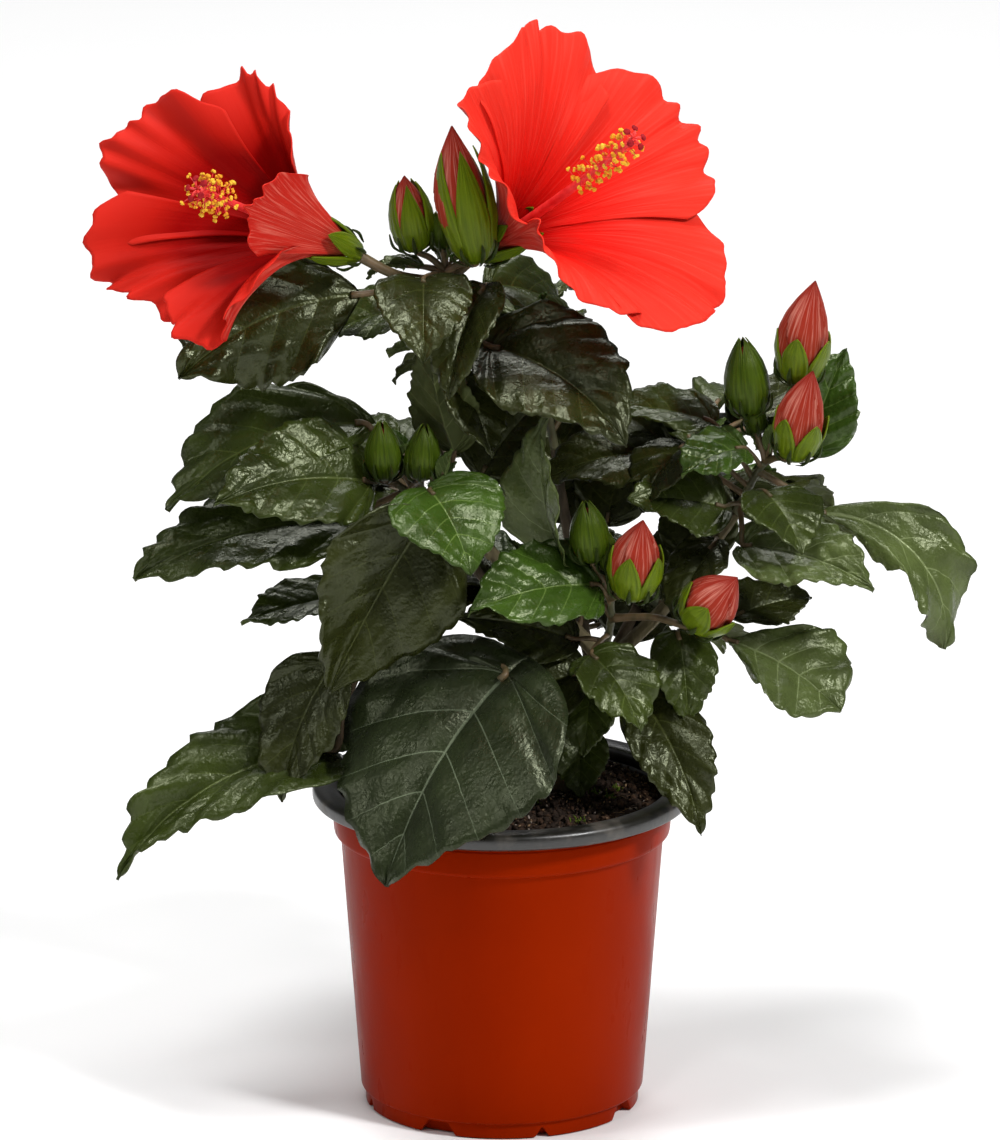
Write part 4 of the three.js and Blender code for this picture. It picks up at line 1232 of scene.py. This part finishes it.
def grownLeaves(spray, draw, tries, most, spacing, size=1.0, openPlaces=()):
    curve = smoothCurve(stemPath(spray), 120)
    leaves = []
    for index in range(tries):
        if len(leaves) >= most:
            break
        at = backRule["firstAt"] + backRule["atSpan"] * ((index * backRule["atStep"]) % 1)
        leaf = dict(leafDefaults)
        leaf.update(at=at, turn=(index * backRule["goldenAngle"] + 60 * draw()) % 360)
        leaf.update(rise=10 + 30 * draw(), reach=12 + 14 * draw(), pitch=14 * draw() - 6 + 24 * at)
        leaf.update(droop=36 + 28 * draw(), long=44 + 26 * draw())
        leaf.update(roll=30 * draw() - 15, fold=10 + 12 * draw())
        leaf.update(long=leaf["long"] * size, wide=leaf["long"] * size * (0.56 + 0.14 * draw()))
        leaf.update(twist=36 * math.sin(index * 2.4), wave=1.1 + 0.5 * math.sin(index * 1.7), puff=1.2)
        points = bladePoints(alongCurve(curve, at), leaf)
        inside = (points > spray["low"]).all() and (points < spray["high"]).all()
        apart = all(np.linalg.norm(point - other) > spacing for point in points for other in takenPoints)
        if inside and apart and not standsIn(points, openPlaces):
            leaf["tone"] = backRule["tones"][index % len(backRule["tones"])]
            leaves.append(leaf)
            takenPoints.extend(points)
    return leaves


budForm = {
    "furlTwist": 0.8, "furlStep": 0.15, "furlRows": 34, "furlSides": 66, "furlBow": 0.03,
    "closedCover": 0.95,  # a bud that its sepals cover further than this is closed
}
# Paints of the sepals' heap, in the order of its finishes.
closedPaint, bractPaint, openPaint = 0, 1, 2
sepalForm = {"count": 5, "halfAngle": 41, "lift": 0.5, "overlap": 0.15, "cells": (20, 13)}
bractForm = {
    "count": 8, "long": 8.5, "fullAt": 18, "halfAngle": 6, "sharpness": 3, "spread": 0.2, "lift": 0.4,
    "bow": 0.9, "below": 0.8, "cells": (12, 7),
}


# A bud's half width at a share of its length: widest a third of the way up, drawn out to the tip.
def budWidth(share, wide):
    return wide / 2 * np.interp(share, [0, 0.04, 0.12, 0.32, 0.5, 0.66, 0.8, 0.91, 1.0],
                                [0.22, 0.52, 0.78, 1.0, 0.95, 0.78, 0.52, 0.26, 0.03])


def crossFrame(axis):
    axis = unit(np.array(axis, float))
    side = unit(np.cross(axis, [0.2, 0.9, 0.1]))
    return axis, side, np.cross(axis, side)


# One pointed sepal or bract, which hugs a round form of the given half width and may spread at its tip.
def addSepal(heap, foot, axes, turn, widthAt, long, form, sharpness, spread, lift, paint):
    axis, side, upward = axes
    rows, columns = form["cells"]
    along = np.linspace(0, 1, rows)[:, None]
    across = np.linspace(-1, 1, columns)[None]
    shape = (1 - along ** sharpness) ** 0.8 + 0.004
    angle = np.radians(turn + across * form["halfAngle"] * shape)
    ridge = 0.30 * np.exp(-(across * 4) ** 2) + 0.14 * np.exp(-((np.abs(across) - 0.5) * 7) ** 2)
    ridge = ridge - 0.30 * np.clip((np.abs(across) - 0.8) / 0.2, 0, 1) ** 2
    radius = widthAt(along * np.ones_like(across)) + lift
    radius = radius + ridge * np.sin(np.pi * along ** 0.7) + spread * along ** 2
    radial = np.cos(angle)[..., None] * side + np.sin(angle)[..., None] * upward
    outer = foot + (along * long * np.ones_like(across))[..., None] * axis + radius[..., None] * radial
    inner = outer - radial * np.minimum(0.5, radius * 0.6)[..., None]
    surfaceMap = np.stack(np.broadcast_arrays(across / 2 + 0.5, along), -1)
    addSheet(heap, inner, outer, paint, paint, paint, surfaceMap)


# Sepals that meet edge to edge up to the given share of their length, with thin bracts round their foot.
def addCalyx(heap, foot, axis, widthAt, long, sharpness, spread, random, paint):
    axes = crossFrame(axis)
    step = 360 / sepalForm["count"]
    turn = random.random() * step
    for index in range(sepalForm["count"]):
        lift = sepalForm["lift"] + sepalForm["overlap"] * (index % 2)
        addSepal(
            heap, foot, axes, turn + index * step, widthAt, long, sepalForm, sharpness, spread, lift, paint)
    bractLong = bractForm["long"] * min(1, long / bractForm["fullAt"])
    bow = bractForm["bow"]

    def bractWidth(share):
        return widthAt(np.clip(share * bractLong / long, 0, 1)) + bow + bow * np.sin(np.pi * share)

    for index in range(bractForm["count"]):
        bractTurn = turn + 20 + (index + 0.4 * random.random()) * 360 / bractForm["count"]
        addSepal(
            heap, foot - axes[0] * bractForm["below"], axes, bractTurn, bractWidth, bractLong, bractForm,
            bractForm["sharpness"], bractForm["spread"], bractForm["lift"], bractPaint)


# Furled petals: overlapping turns that wind round the axis up to a point.
def addFurl(heap, foot, axis, wide, long, random):
    axis, side, upward = crossFrame(axis)
    rows, sides = budForm["furlRows"], budForm["furlSides"]
    share = np.linspace(0, 1, rows)[:, None]
    turn = np.linspace(0, 2 * np.pi, sides + 1)[None]
    wound = (turn / (2 * np.pi) * 3 + share * budForm["furlTwist"] + random.random()) % 1
    step = budForm["furlStep"] * (1 - wound ** 1.5) * np.sqrt(np.clip(share * 1.6, 0, 1))
    radius = budWidth(share, wide) * (1 + step - 0.05) + 0.05 * np.cos(turn * 33)
    bow = budForm["furlBow"] * long * np.sin(np.pi * share)
    radial = np.cos(turn)[..., None] * side + np.sin(turn)[..., None] * upward
    grid = foot + (share * long * np.ones_like(turn))[..., None] * axis + radius[..., None] * radial
    grid = grid + (bow * np.ones_like(turn))[..., None] * side
    ids = np.arange(rows * (sides + 1)).reshape(rows, sides + 1)
    quads = np.stack([ids[:-1, :-1], ids[:-1, 1:], ids[1:, 1:], ids[1:, :-1]], -1).reshape(-1, 4)
    last, first = ids.size, ids.size + 1
    tip = np.stack([np.full(sides, last), ids[-1, :-1], ids[-1, 1:]], -1)
    base = np.stack([np.full(sides, first), ids[0, 1:], ids[0, :-1]], -1)
    points = np.concatenate([grid.reshape(-1, 3), [foot + axis * (long + 0.2)], [foot]])
    surfaceMap = np.stack(np.broadcast_arrays(turn / (2 * np.pi), share), -1).reshape(-1, 2)
    surfaceMap = np.concatenate([surfaceMap, [[0.5, 1.0], [0.5, 0.0]]])
    addFaces(heap, points, quads, 0, np.concatenate([tip, base]), 0, surfaceMap)


def addBud(green, red, start, bud, stalks, random):
    base = stalkEnd(start, bud)
    axis = heading(bud["turn"] + bud.get("swing", 0), bud["pitch"])
    long, wide, cover = bud["long"], bud["wide"], bud["cover"]
    addStalk(stalks, start, base, base + axis * long * 0.1, 0.7 + wide / 45, 1)
    slim = wide - 1.4
    closed = cover > budForm["closedCover"]
    furlWide, furlLong = (slim * 0.8, long * 0.85) if closed else (slim * 0.97, long - 1.0)
    addFurl(red, base + axis * 1.0, axis, furlWide, furlLong, random)
    sharpness, spread, paint = (9, 0.1, closedPaint) if closed else (2.2, 1.1, openPaint)

    def hug(share):
        return budWidth(share * cover * 0.97, slim)

    addCalyx(green, base, axis, hug, long * cover, sharpness, spread, random, paint)


leafHeaps = {tone: [newHeap()] for tone in leafTones}
leavesInHeap = 24  # keeps each piece well under the triangle limit
stemForm = {"places": 120, "foot": 1.55, "tip": 1.1, "rings": 5, "ringHigh": 0.18}
twigs, budGreens, budReds = newHeap(), newHeap(), newHeap()
random = np.random.default_rng(23)


def addLeaf(start, leaf):
    base = stalkEnd(start, leaf)
    turn = leaf["turn"] + leaf["swing"]
    into = midribAt(base, turn, leaf, np.array(3.5 / leaf["long"]))[0]
    addStalk(twigs, start, base, into, 0.55 + leaf["long"] / 150, 1)
    heaps = leafHeaps[leaf["tone"]]
    if len(heaps[-1]["points"]) >= leavesInHeap:
        heaps.append(newHeap())
    addBlade(heaps[-1], base, turn, leaf, random)


# Small unfolding leaves round the tip of a stem.
def addShootTip(curve):
    tip = curve[-1]
    for index in range(3):
        leaf = dict(leafDefaults)
        leaf.update(turn=index * 137 + 40 * random.random(), rise=50 + 20 * random.random())
        leaf.update(reach=3 + index, pitch=60 + 15 * random.random(), droop=25, fold=42)
        leaf.update(long=9 + 3 * index, wide=4 + 1.5 * index, tone="bright", wave=0.6)
        addLeaf(tip, leaf)


# The stem runs on out of its bough's tip, with low rings on it where leaves once stood.
def addStem(spray, ringed):
    tip = np.array(boughs[spray["bough"]]["path"][-1], float)
    curve = smoothCurve(stemPath(spray), stemForm["places"])
    share = np.linspace(0, 1, stemForm["places"] + 1)
    width = stemForm["foot"] + (stemForm["tip"] - stemForm["foot"]) * share
    if ringed:
        width += stemForm["ringHigh"] * np.exp(-(((share * stemForm["rings"]) % 1 - 0.5) / 0.12) ** 2)
    addTube(twigs, np.concatenate([[tip - (curve[0] - tip)], curve]), width, 12, 0)
    return curve


def addSpray(spray):
    curve = addStem(spray, True)
    for own in spray["leaves"]:
        leaf = {**leafDefaults, **own}
        start = alongCurve(curve, leaf["at"])
        addLeaf(start, leaf)
        takenPoints.extend(bladePoints(start, leaf))
    for bud in spray["buds"]:
        addBud(budGreens, budReds, alongCurve(curve, bud["at"]), bud, twigs, random)
    return curve


for spray in sprays.values():
    addShootTip(addSpray(spray))
print("front sprays grown")
draw = SeededDraw(backRule["seed"])
for spray in backSprays.values():
    leaves = grownLeaves(spray, draw, backRule["tries"], spray["count"], backRule["spacing"])
    curve = addStem(spray, False)
    for leaf in leaves:
        start = alongCurve(curve, leaf["at"])
        if not standsIn(bladePoints(start, leaf), backRule["open"]):
            addLeaf(start, leaf)
    addShootTip(curve)
    print("back spray with", len(leaves), "leaves")
fineDraw = SeededDraw(backRule["seed"] + 1)
for spray in backSprays.values():
    leaves = grownLeaves(
        spray, fineDraw, fineRule["tries"], fineRule["most"], fineRule["spacing"], fineRule["shrink"],
        fineRule["open"])
    for leaf in leaves:
        addLeaf(alongCurve(smoothCurve(stemPath(spray), 120), leaf["at"]), leaf)
    print(len(leaves), "smaller leaves")
for name, leaves in innerLeaves.items():
    curve = smoothCurve(boughs[name]["path"] if name in boughs else stemPath(sprays[name]), 120)
    for own in leaves:
        addLeaf(alongCurve(curve, own["at"]), {**leafDefaults, **own})


# Each petal gives its rim at five places from edge to edge: the turn round the bloom's axis, the
# distance from it and the distance forward.
blooms = {
    "bloom_left": dict(
        stalk=[(-21.6, 3, 290), (-36, -4, 294), (-51, -8, 303)],
        facing=(-0.6, -0.68, 0.42), spreading=1.8, creasing=0.35, ragged=1.3,
        column=83, columnBend=0.0, antherFrom=0.8, antherLong=5.4, antherWide=0.74,
        petals=[
            dict(rim=[(62, 21, 40), (80, 34, 43), (93, 51, 45), (105, 53, 49), (134, 50, 59)]),
            dict(rim=[(106, 45, 56), (131, 57, 64), (148, 60, 66), (166, 56, 66), (188, 50, 69)]),
            dict(rim=[(164, 51, 69), (190, 60, 70), (204, 52, 64), (222, 47, 60), (244, 46, 56)]),
            dict(rim=[(218, 45, 62), (239, 47, 60), (253, 46, 56), (265, 33, 60), (294, 19, 52)]),
            dict(
                rim=[(-80, 18, 55), (-52, 10, 63), (-12, 9, 67), (25, 13, 62), (56, 20, 42)],
                spreading=1.0),
        ]),
    "bloom_right": dict(
        stalk=[(-16.6, 4.8, 291), (-12, 6, 295), (-6, 6, 300)],
        facing=(0.59, -0.58, 0.56), spreading=1.6, creasing=1.1, ragged=0.7,
        column=84, columnBend=3.0, antherFrom=0.6, antherLong=4.2, antherWide=0.9,
        petals=[
            dict(rim=[(0, 49, 58), (22, 55, 60), (40, 57, 60), (58, 57, 58), (88, 50, 54)]),
            dict(rim=[(72, 46, 52), (92, 57, 55), (108, 59, 56), (124, 54, 54), (144, 47, 49)]),
            dict(rim=[(134, 49, 50), (152, 48, 44), (170, 36, 45), (192, 27, 47), (228, 18, 42)]),
            dict(rim=[(-134, 17, 40), (-114, 20, 43), (-92, 34, 48), (-74, 46, 54), (-52, 54, 56)]),
            dict(rim=[(-68, 51, 55), (-50, 60, 58), (-34, 62, 62), (-17, 59, 63), (8, 51, 60)]),
        ]),
}
petalForm = {
    "rows": 64, "columns": 61, "thickness": 0.45, "footThickness": 0.9,
    "tubeRadius": 3.0, "tubeLong": 6.0,
    "ruffle": 1.9, "veinCount": 46, "veinHigh": 0.045, "creaseWide": 0.07,
}
columnForm = {
    "foot": 4, "radius": (2.0, 1.1), "anthers": 70, "antherTo": 0.975, "antherTurn": 137.5, "styles": 5,
}


def bloomFrame(bloom):
    axis = unit(np.array(bloom["facing"], float))
    right = unit(np.array([1.0, 0, 0]) - axis * axis[0])
    return np.array(bloom["stalk"][2], float), axis, right, np.cross(axis, right)


# A smooth curve through the five places of a rim, read from edge to edge.
def alongRim(rim, across):
    values = np.array(rim, float)
    values = np.concatenate([[2 * values[0] - values[1]], values, [2 * values[-1] - values[-2]]])
    place = (across + 1) * 2
    index = np.clip(place.astype(int), 0, 3)
    t = (place - index)[..., None]
    before, start, end, after = (values[index + shift] for shift in range(4))
    return 0.5 * (2 * start + (end - before) * t + (2 * before - 5 * start + 4 * end - after) * t ** 2
                  + (3 * start - 3 * end + after - before) * t ** 3)


def petalGrid(bloom, petal, random):
    foot, axis, right, upward = bloomFrame(bloom)
    share = np.linspace(0, 1, petalForm["rows"])[:, None]
    across = np.linspace(-1, 1, petalForm["columns"])
    phase = random.random(8) * 2 * np.pi
    turn, rimRadius, rimForward = alongRim(petal["rim"], across).T[:, None]
    across = across[None]
    scallop = 0.013 * np.sin(across * 8 + phase[0]) + 0.011 * np.sin(across * 21 + phase[1] + 2 * across)
    scallop = bloom["ragged"] * (1 - 0.6 * across ** 4) * (scallop + 0.006 * np.sin(across * 37 + phase[7]))
    reach = share * (1 - 0.01 * across ** 2 - 0.07 * across ** 6 + scallop * share ** 3)
    tubeRadius, tubeLong = petalForm["tubeRadius"], petalForm["tubeLong"]
    spreading = petal.get("spreading", bloom["spreading"])
    radius = tubeRadius + (rimRadius - tubeRadius) * reach ** spreading
    forward = tubeLong + (rimForward - tubeLong) * (reach - 0.18 * reach ** 4) / 0.82
    middle = (petal["rim"][0][0] + petal["rim"][4][0]) / 2
    angle = np.radians(middle + (turn - middle) * (0.78 + 0.22 * np.minimum(reach * 2.5, 1)))
    radial = np.cos(angle)[..., None] * right + np.sin(angle)[..., None] * upward
    wave = reach ** 2 * (2.4 * across + 1.6 * reach * np.sin(across * 5 + phase[2]))
    rim = np.clip((reach - 0.55) / 0.45, 0, 1) ** 1.5
    ruffle = petalForm["ruffle"] * rim * (
        np.sin(across * 8 + phase[3]) + 0.8 * np.sin(across * 17 + phase[4] + 2 * np.sin(across * 3)) * rim)
    veins = np.sin(across * petalForm["veinCount"] + 2 * np.sin(share * 5 + phase[5]))
    veins = petalForm["veinHigh"] * bloom["creasing"] * veins * np.clip(reach * 3, 0, 1)
    fromCrease = (across - 0.15 * np.sin(phase[6])) / petalForm["creaseWide"]
    crease = bloom["creasing"] * np.exp(-fromCrease ** 2) * reach
    crinkle = 0.5 * np.sin(across * 12 + share * 6 + phase[7]) + 0.3 * np.sin(share * 17 + across * 5)
    crinkle = crinkle * reach
    along = forward - wave + ruffle + veins * (1 - 0.5 * reach) + crinkle - crease
    point = foot + along[..., None] * axis + radius[..., None] * radial
    return point, np.stack(np.broadcast_arrays(across / 2 + 0.5, share), -1)


def addPetals(heap, bloom, random):
    for petal in bloom["petals"]:
        top, surfaceMap = petalGrid(bloom, petal, random)
        normal = unit(np.cross(np.gradient(top, axis=0), np.gradient(top, axis=1)))
        share = np.linspace(0, 1, petalForm["rows"])[:, None, None]
        under = top - normal * (petalForm["thickness"] + petalForm["footThickness"] * (1 - share) ** 3)
        addSheet(heap, top, under, 0, 1, 0, surfaceMap)


# Petals darken towards the throat, with fine veins that run out to the rim.
def petalFinish(name, stops, vein, veinStrength, veinCount, ribs, roughness=0.5, mapName="petalMap"):
    finish = newFinish(name, stops[-1][1], roughness, specular=0.08, glow=0.06, tint=(1.0, 0.5, 0.45))
    gradient = finish.node_tree.nodes.new("ShaderNodeSeparateXYZ")
    source = finish.node_tree.nodes.new("ShaderNodeUVMap")
    source.uv_map = mapName
    finish.node_tree.links.new(source.outputs["UV"], gradient.inputs["Vector"])
    base = ramp(finish, gradient.outputs["Y"], stops)
    stretch = (veinCount, 2.2, 1.0)
    streaks = pattern(finish, "ShaderNodeTexNoise", 1.0, stretch=stretch, detail=5.0, mapName=mapName)
    strong = ramp(finish, streaks, [(0.5, (0, 0, 0)), (0.66, (veinStrength,) * 3)])
    feed(finish, mixed(finish, strong, base, vein), "Base Color")
    emboss(finish, (streaks, ribs))
    return finish


def addColumn(red, gold, dark, bloom, random):
    foot, axis, right, upward = bloomFrame(bloom)
    length = bloom["column"]
    share = np.linspace(0, 1, 40)
    rise = np.array([0, 0, 1.0]) * bloom["columnBend"]
    inTube = columnForm["foot"]
    path = foot + (inTube + (length - inTube) * share)[:, None] * axis + (share ** 3)[:, None] * rise
    thick, thin = columnForm["radius"]
    addTube(red, path, thick - (thick - thin) * share, 14, 0)
    antherSpan = columnForm["antherTo"] - bloom["antherFrom"]
    for index in range(columnForm["anthers"]):
        start = alongCurve(path, bloom["antherFrom"] + antherSpan * (index + 0.5) / columnForm["anthers"])
        turn = math.radians(index * columnForm["antherTurn"])
        outward = math.cos(turn) * right + math.sin(turn) * upward
        reach = bloom["antherLong"] * (0.8 + 0.7 * random.random())
        end = start + unit(outward + axis * (0.1 + 0.5 * random.random())) * reach
        middle = (start + end) / 2 + axis * 0.6
        addTube(red, smoothCurve([start, middle, end], 6), np.full(6, 0.17), 5, 0)
        size = np.array([0.95, 0.8, 0.65]) * bloom["antherWide"] * (0.85 + 0.5 * random.random())
        for lobe in (-0.4, 0.4):
            addCrumb(gold, end + lobe * unit(np.cross(outward, axis)), size, random, index % 2)
    tip = path[-1]
    for index in range(columnForm["styles"]):
        turn = math.radians(index * 360 / columnForm["styles"] + 20)
        outward = math.cos(turn) * right + math.sin(turn) * upward
        end = tip + axis * 1.4 + outward * 3.6
        style = smoothCurve([tip - axis, tip + axis * 1.2 + outward * 1.2, end], 8)
        addTube(red, style, np.full(8, 0.4), 7, 0)
        addStigma(dark, end, unit(axis + outward * 0.5), random)


# A round velvety pad at the end of each style.
def addStigma(heap, centre, axis, random):
    rows = np.linspace(0, np.pi, 9)
    path = centre + (-np.cos(rows) * 0.65)[:, None] * unit(np.array(axis))
    sides = 16
    radius = np.maximum(np.sin(rows) ** 0.7 * 1.25, 0.05)[:, None]
    addTube(heap, path, radius * (1 + 0.06 * random.normal(size=(9, sides))), sides, 0)


# The left bloom's ramp stays dark over most of each petal and steps up near the rim: the dark inner cup is
# painted shadow from its near petals, and the bright rim is painted light on the flared lobes.
petalShades = {
    "bloom_left": [
        (0.0, (0.11, 0.0, 0.0003)), (0.35, (0.19, 0.0, 0.0004)), (0.68, (0.25, 0.0006, 0.0006)),
        (0.80, (0.42, 0.008, 0.004)), (1.0, (0.56, 0.020, 0.012))],
    "bloom_right": [
        (0.0, (0.14, 0.0, 0.001)), (0.2, (0.38, 0.001, 0.001)), (0.45, (0.64, 0.007, 0.004)),
        (0.8, (0.74, 0.026, 0.015)), (1.0, (0.75, 0.034, 0.020))],
}
petalVeins = {
    "bloom_left": dict(vein=(0.60, 0.03, 0.02), veinStrength=0.05, veinCount=40.0, ribs=0.00012),
    "bloom_right": dict(vein=(0.88, 0.10, 0.07), veinStrength=0.22, veinCount=52.0, ribs=0.0004),
}


# The half width of a bloom's foot where its calyx hugs it.
def tubeWidth(share):
    return 3.2 + 3.8 * np.sin(np.pi * np.clip(share * 0.62 + 0.06, 0, 1))


def makeBlooms():
    outerStops = [
        (0.0, (0.40, 0.10, 0.035)), (0.2, (0.44, 0.024, 0.015)),
        (0.6, (0.46, 0.021, 0.013)), (1.0, (0.44, 0.013, 0.008))]
    outer = petalFinish("coralBack", outerStops, (0.72, 0.18, 0.13), 0.5, 46.0, 0.0003, 0.55)
    columns, anthers, stigmas = newHeap(), newHeap(), newHeap()
    random = np.random.default_rng(5)
    for name, bloom in blooms.items():
        petals = newHeap()
        addPetals(petals, bloom, random)
        inner = petalFinish(name + "Petal", petalShades[name], **petalVeins[name])
        makePiece(name + "_petals", petals, [inner, outer], "bloom", [name], "petalMap")
        addColumn(columns, anthers, stigmas, bloom, random)
        foot, axis, right, upward = bloomFrame(bloom)
        stalk = smoothCurve([*bloom["stalk"], foot + axis * 4], 30)
        addTube(twigs, stalk, 1.6 + 0.5 * np.linspace(0, 1, 30) ** 2, 12, 1)
        addCalyx(budGreens, foot - axis * 1.0, axis, tubeWidth, 24.0, 1.7, 1.4, random, openPaint)
    rosy = newFinish("rosyColumn", (0.74, 0.02, 0.02), 0.5, glow=0.1)
    rosyGrain = pattern(rosy, "ShaderNodeTexNoise", 300.0)
    rosyShade = ramp(rosy, rosyGrain, [(0.3, (0.66, 0.012, 0.014)), (0.7, (0.82, 0.05, 0.045))])
    feed(rosy, rosyShade, "Base Color")
    emboss(rosy, (pattern(rosy, "ShaderNodeTexNoise", 900.0), 0.0001))
    makePiece("bloomColumns", columns, [rosy], "bloom", bloomNodes)
    makePiece("bloomAnthers", anthers, [
        pollenFinish("goldAnther", (0.76, 0.26, 0.006), (0.90, 0.45, 0.03)),
        pollenFinish("yellowAnther", (0.84, 0.40, 0.012), (0.93, 0.60, 0.06)),
    ], "bloom", bloomNodes)
    wine = pollenFinish("redStigma", (0.24, 0.002, 0.006), (0.42, 0.01, 0.016))
    makePiece("bloomStigmas", stigmas, [wine], "bloom", bloomNodes)


def pollenFinish(name, dark, light):
    finish = newFinish(name, light, 0.75, specular=0.2)
    grain = pattern(finish, "ShaderNodeTexNoise", 900.0)
    feed(finish, ramp(finish, grain, [(0.32, dark), (0.68, light)]), "Base Color")
    emboss(finish, (pattern(finish, "ShaderNodeTexVoronoi", 2500.0), 0.0002))
    return finish


makeBlooms()
print("blooms opened")


for tone, heaps in leafHeaps.items():
    sheens = (glossy, glossy, dull, dull)
    finishes = [
        leafFinish(tone + part, shade, sheen)
        for part, shade, sheen in zip(leafParts, leafTones[tone], sheens)
    ]
    for index, heap in enumerate(heaps):
        makePiece(f"{tone}Leaves{index + 1}", heap, finishes, "foliage", sprayNodes)


def stalkFinish(name, dark, light):
    finish = newFinish(name, dark, 0.5, specular=0.4)
    streak = pattern(finish, "ShaderNodeTexNoise", 300.0, stretch=(1.0, 1.0, 0.3), detail=5.0)
    feed(finish, ramp(finish, streak, [(0.35, dark), (0.68, light)]), "Base Color")
    emboss(finish, (streak, 0.0002))
    return finish


makePiece("greenTwigs", twigs, [
    stalkFinish("youngTwig", (0.05, 0.05, 0.02), (0.13, 0.13, 0.06)),
    stalkFinish("leafStalk", (0.07, 0.055, 0.02), (0.16, 0.10, 0.05)),
], "foliage", [*sprayNodes, *bloomNodes])


def sepalFinish(name, dark, light):
    finish = newFinish(name, dark, 0.36, specular=0.25, glow=0.05, tint=(0.9, 1.0, 0.5))
    stretch = (9.0, 1.6, 1.0)
    streaks = pattern(finish, "ShaderNodeTexNoise", 1.0, stretch=stretch, detail=4.0, mapName="budMap")
    feed(finish, ramp(finish, streaks, [(0.34, dark), (0.66, light)]), "Base Color")
    emboss(finish, (streaks, 0.0006), (pattern(finish, "ShaderNodeTexNoise", 1300.0), 0.0001))
    return finish


makePiece("budSepals", budGreens, [
    sepalFinish("sepalGreen", (0.018, 0.036, 0.001), (0.055, 0.088, 0.004)),
    sepalFinish("bractGreen", (0.010, 0.018, 0.003), (0.030, 0.048, 0.008)),
    sepalFinish("brightSepal", (0.055, 0.092, 0.001), (0.125, 0.175, 0.004)),
], "foliage", [*sprayNodes, *bloomNodes], "budMap")
budStops = [(0.0, (0.22, 0.03, 0.010)), (0.6, (0.27, 0.026, 0.014)), (1.0, (0.22, 0.012, 0.007))]
budRed = petalFinish("budRed", budStops, (0.60, 0.24, 0.18), 0.55, 60.0, 0.0003, mapName="budMap")
makePiece("budPetals", budReds, [budRed], "bloom", sprayNodes, "budMap")
print("leaves, twigs and buds made")
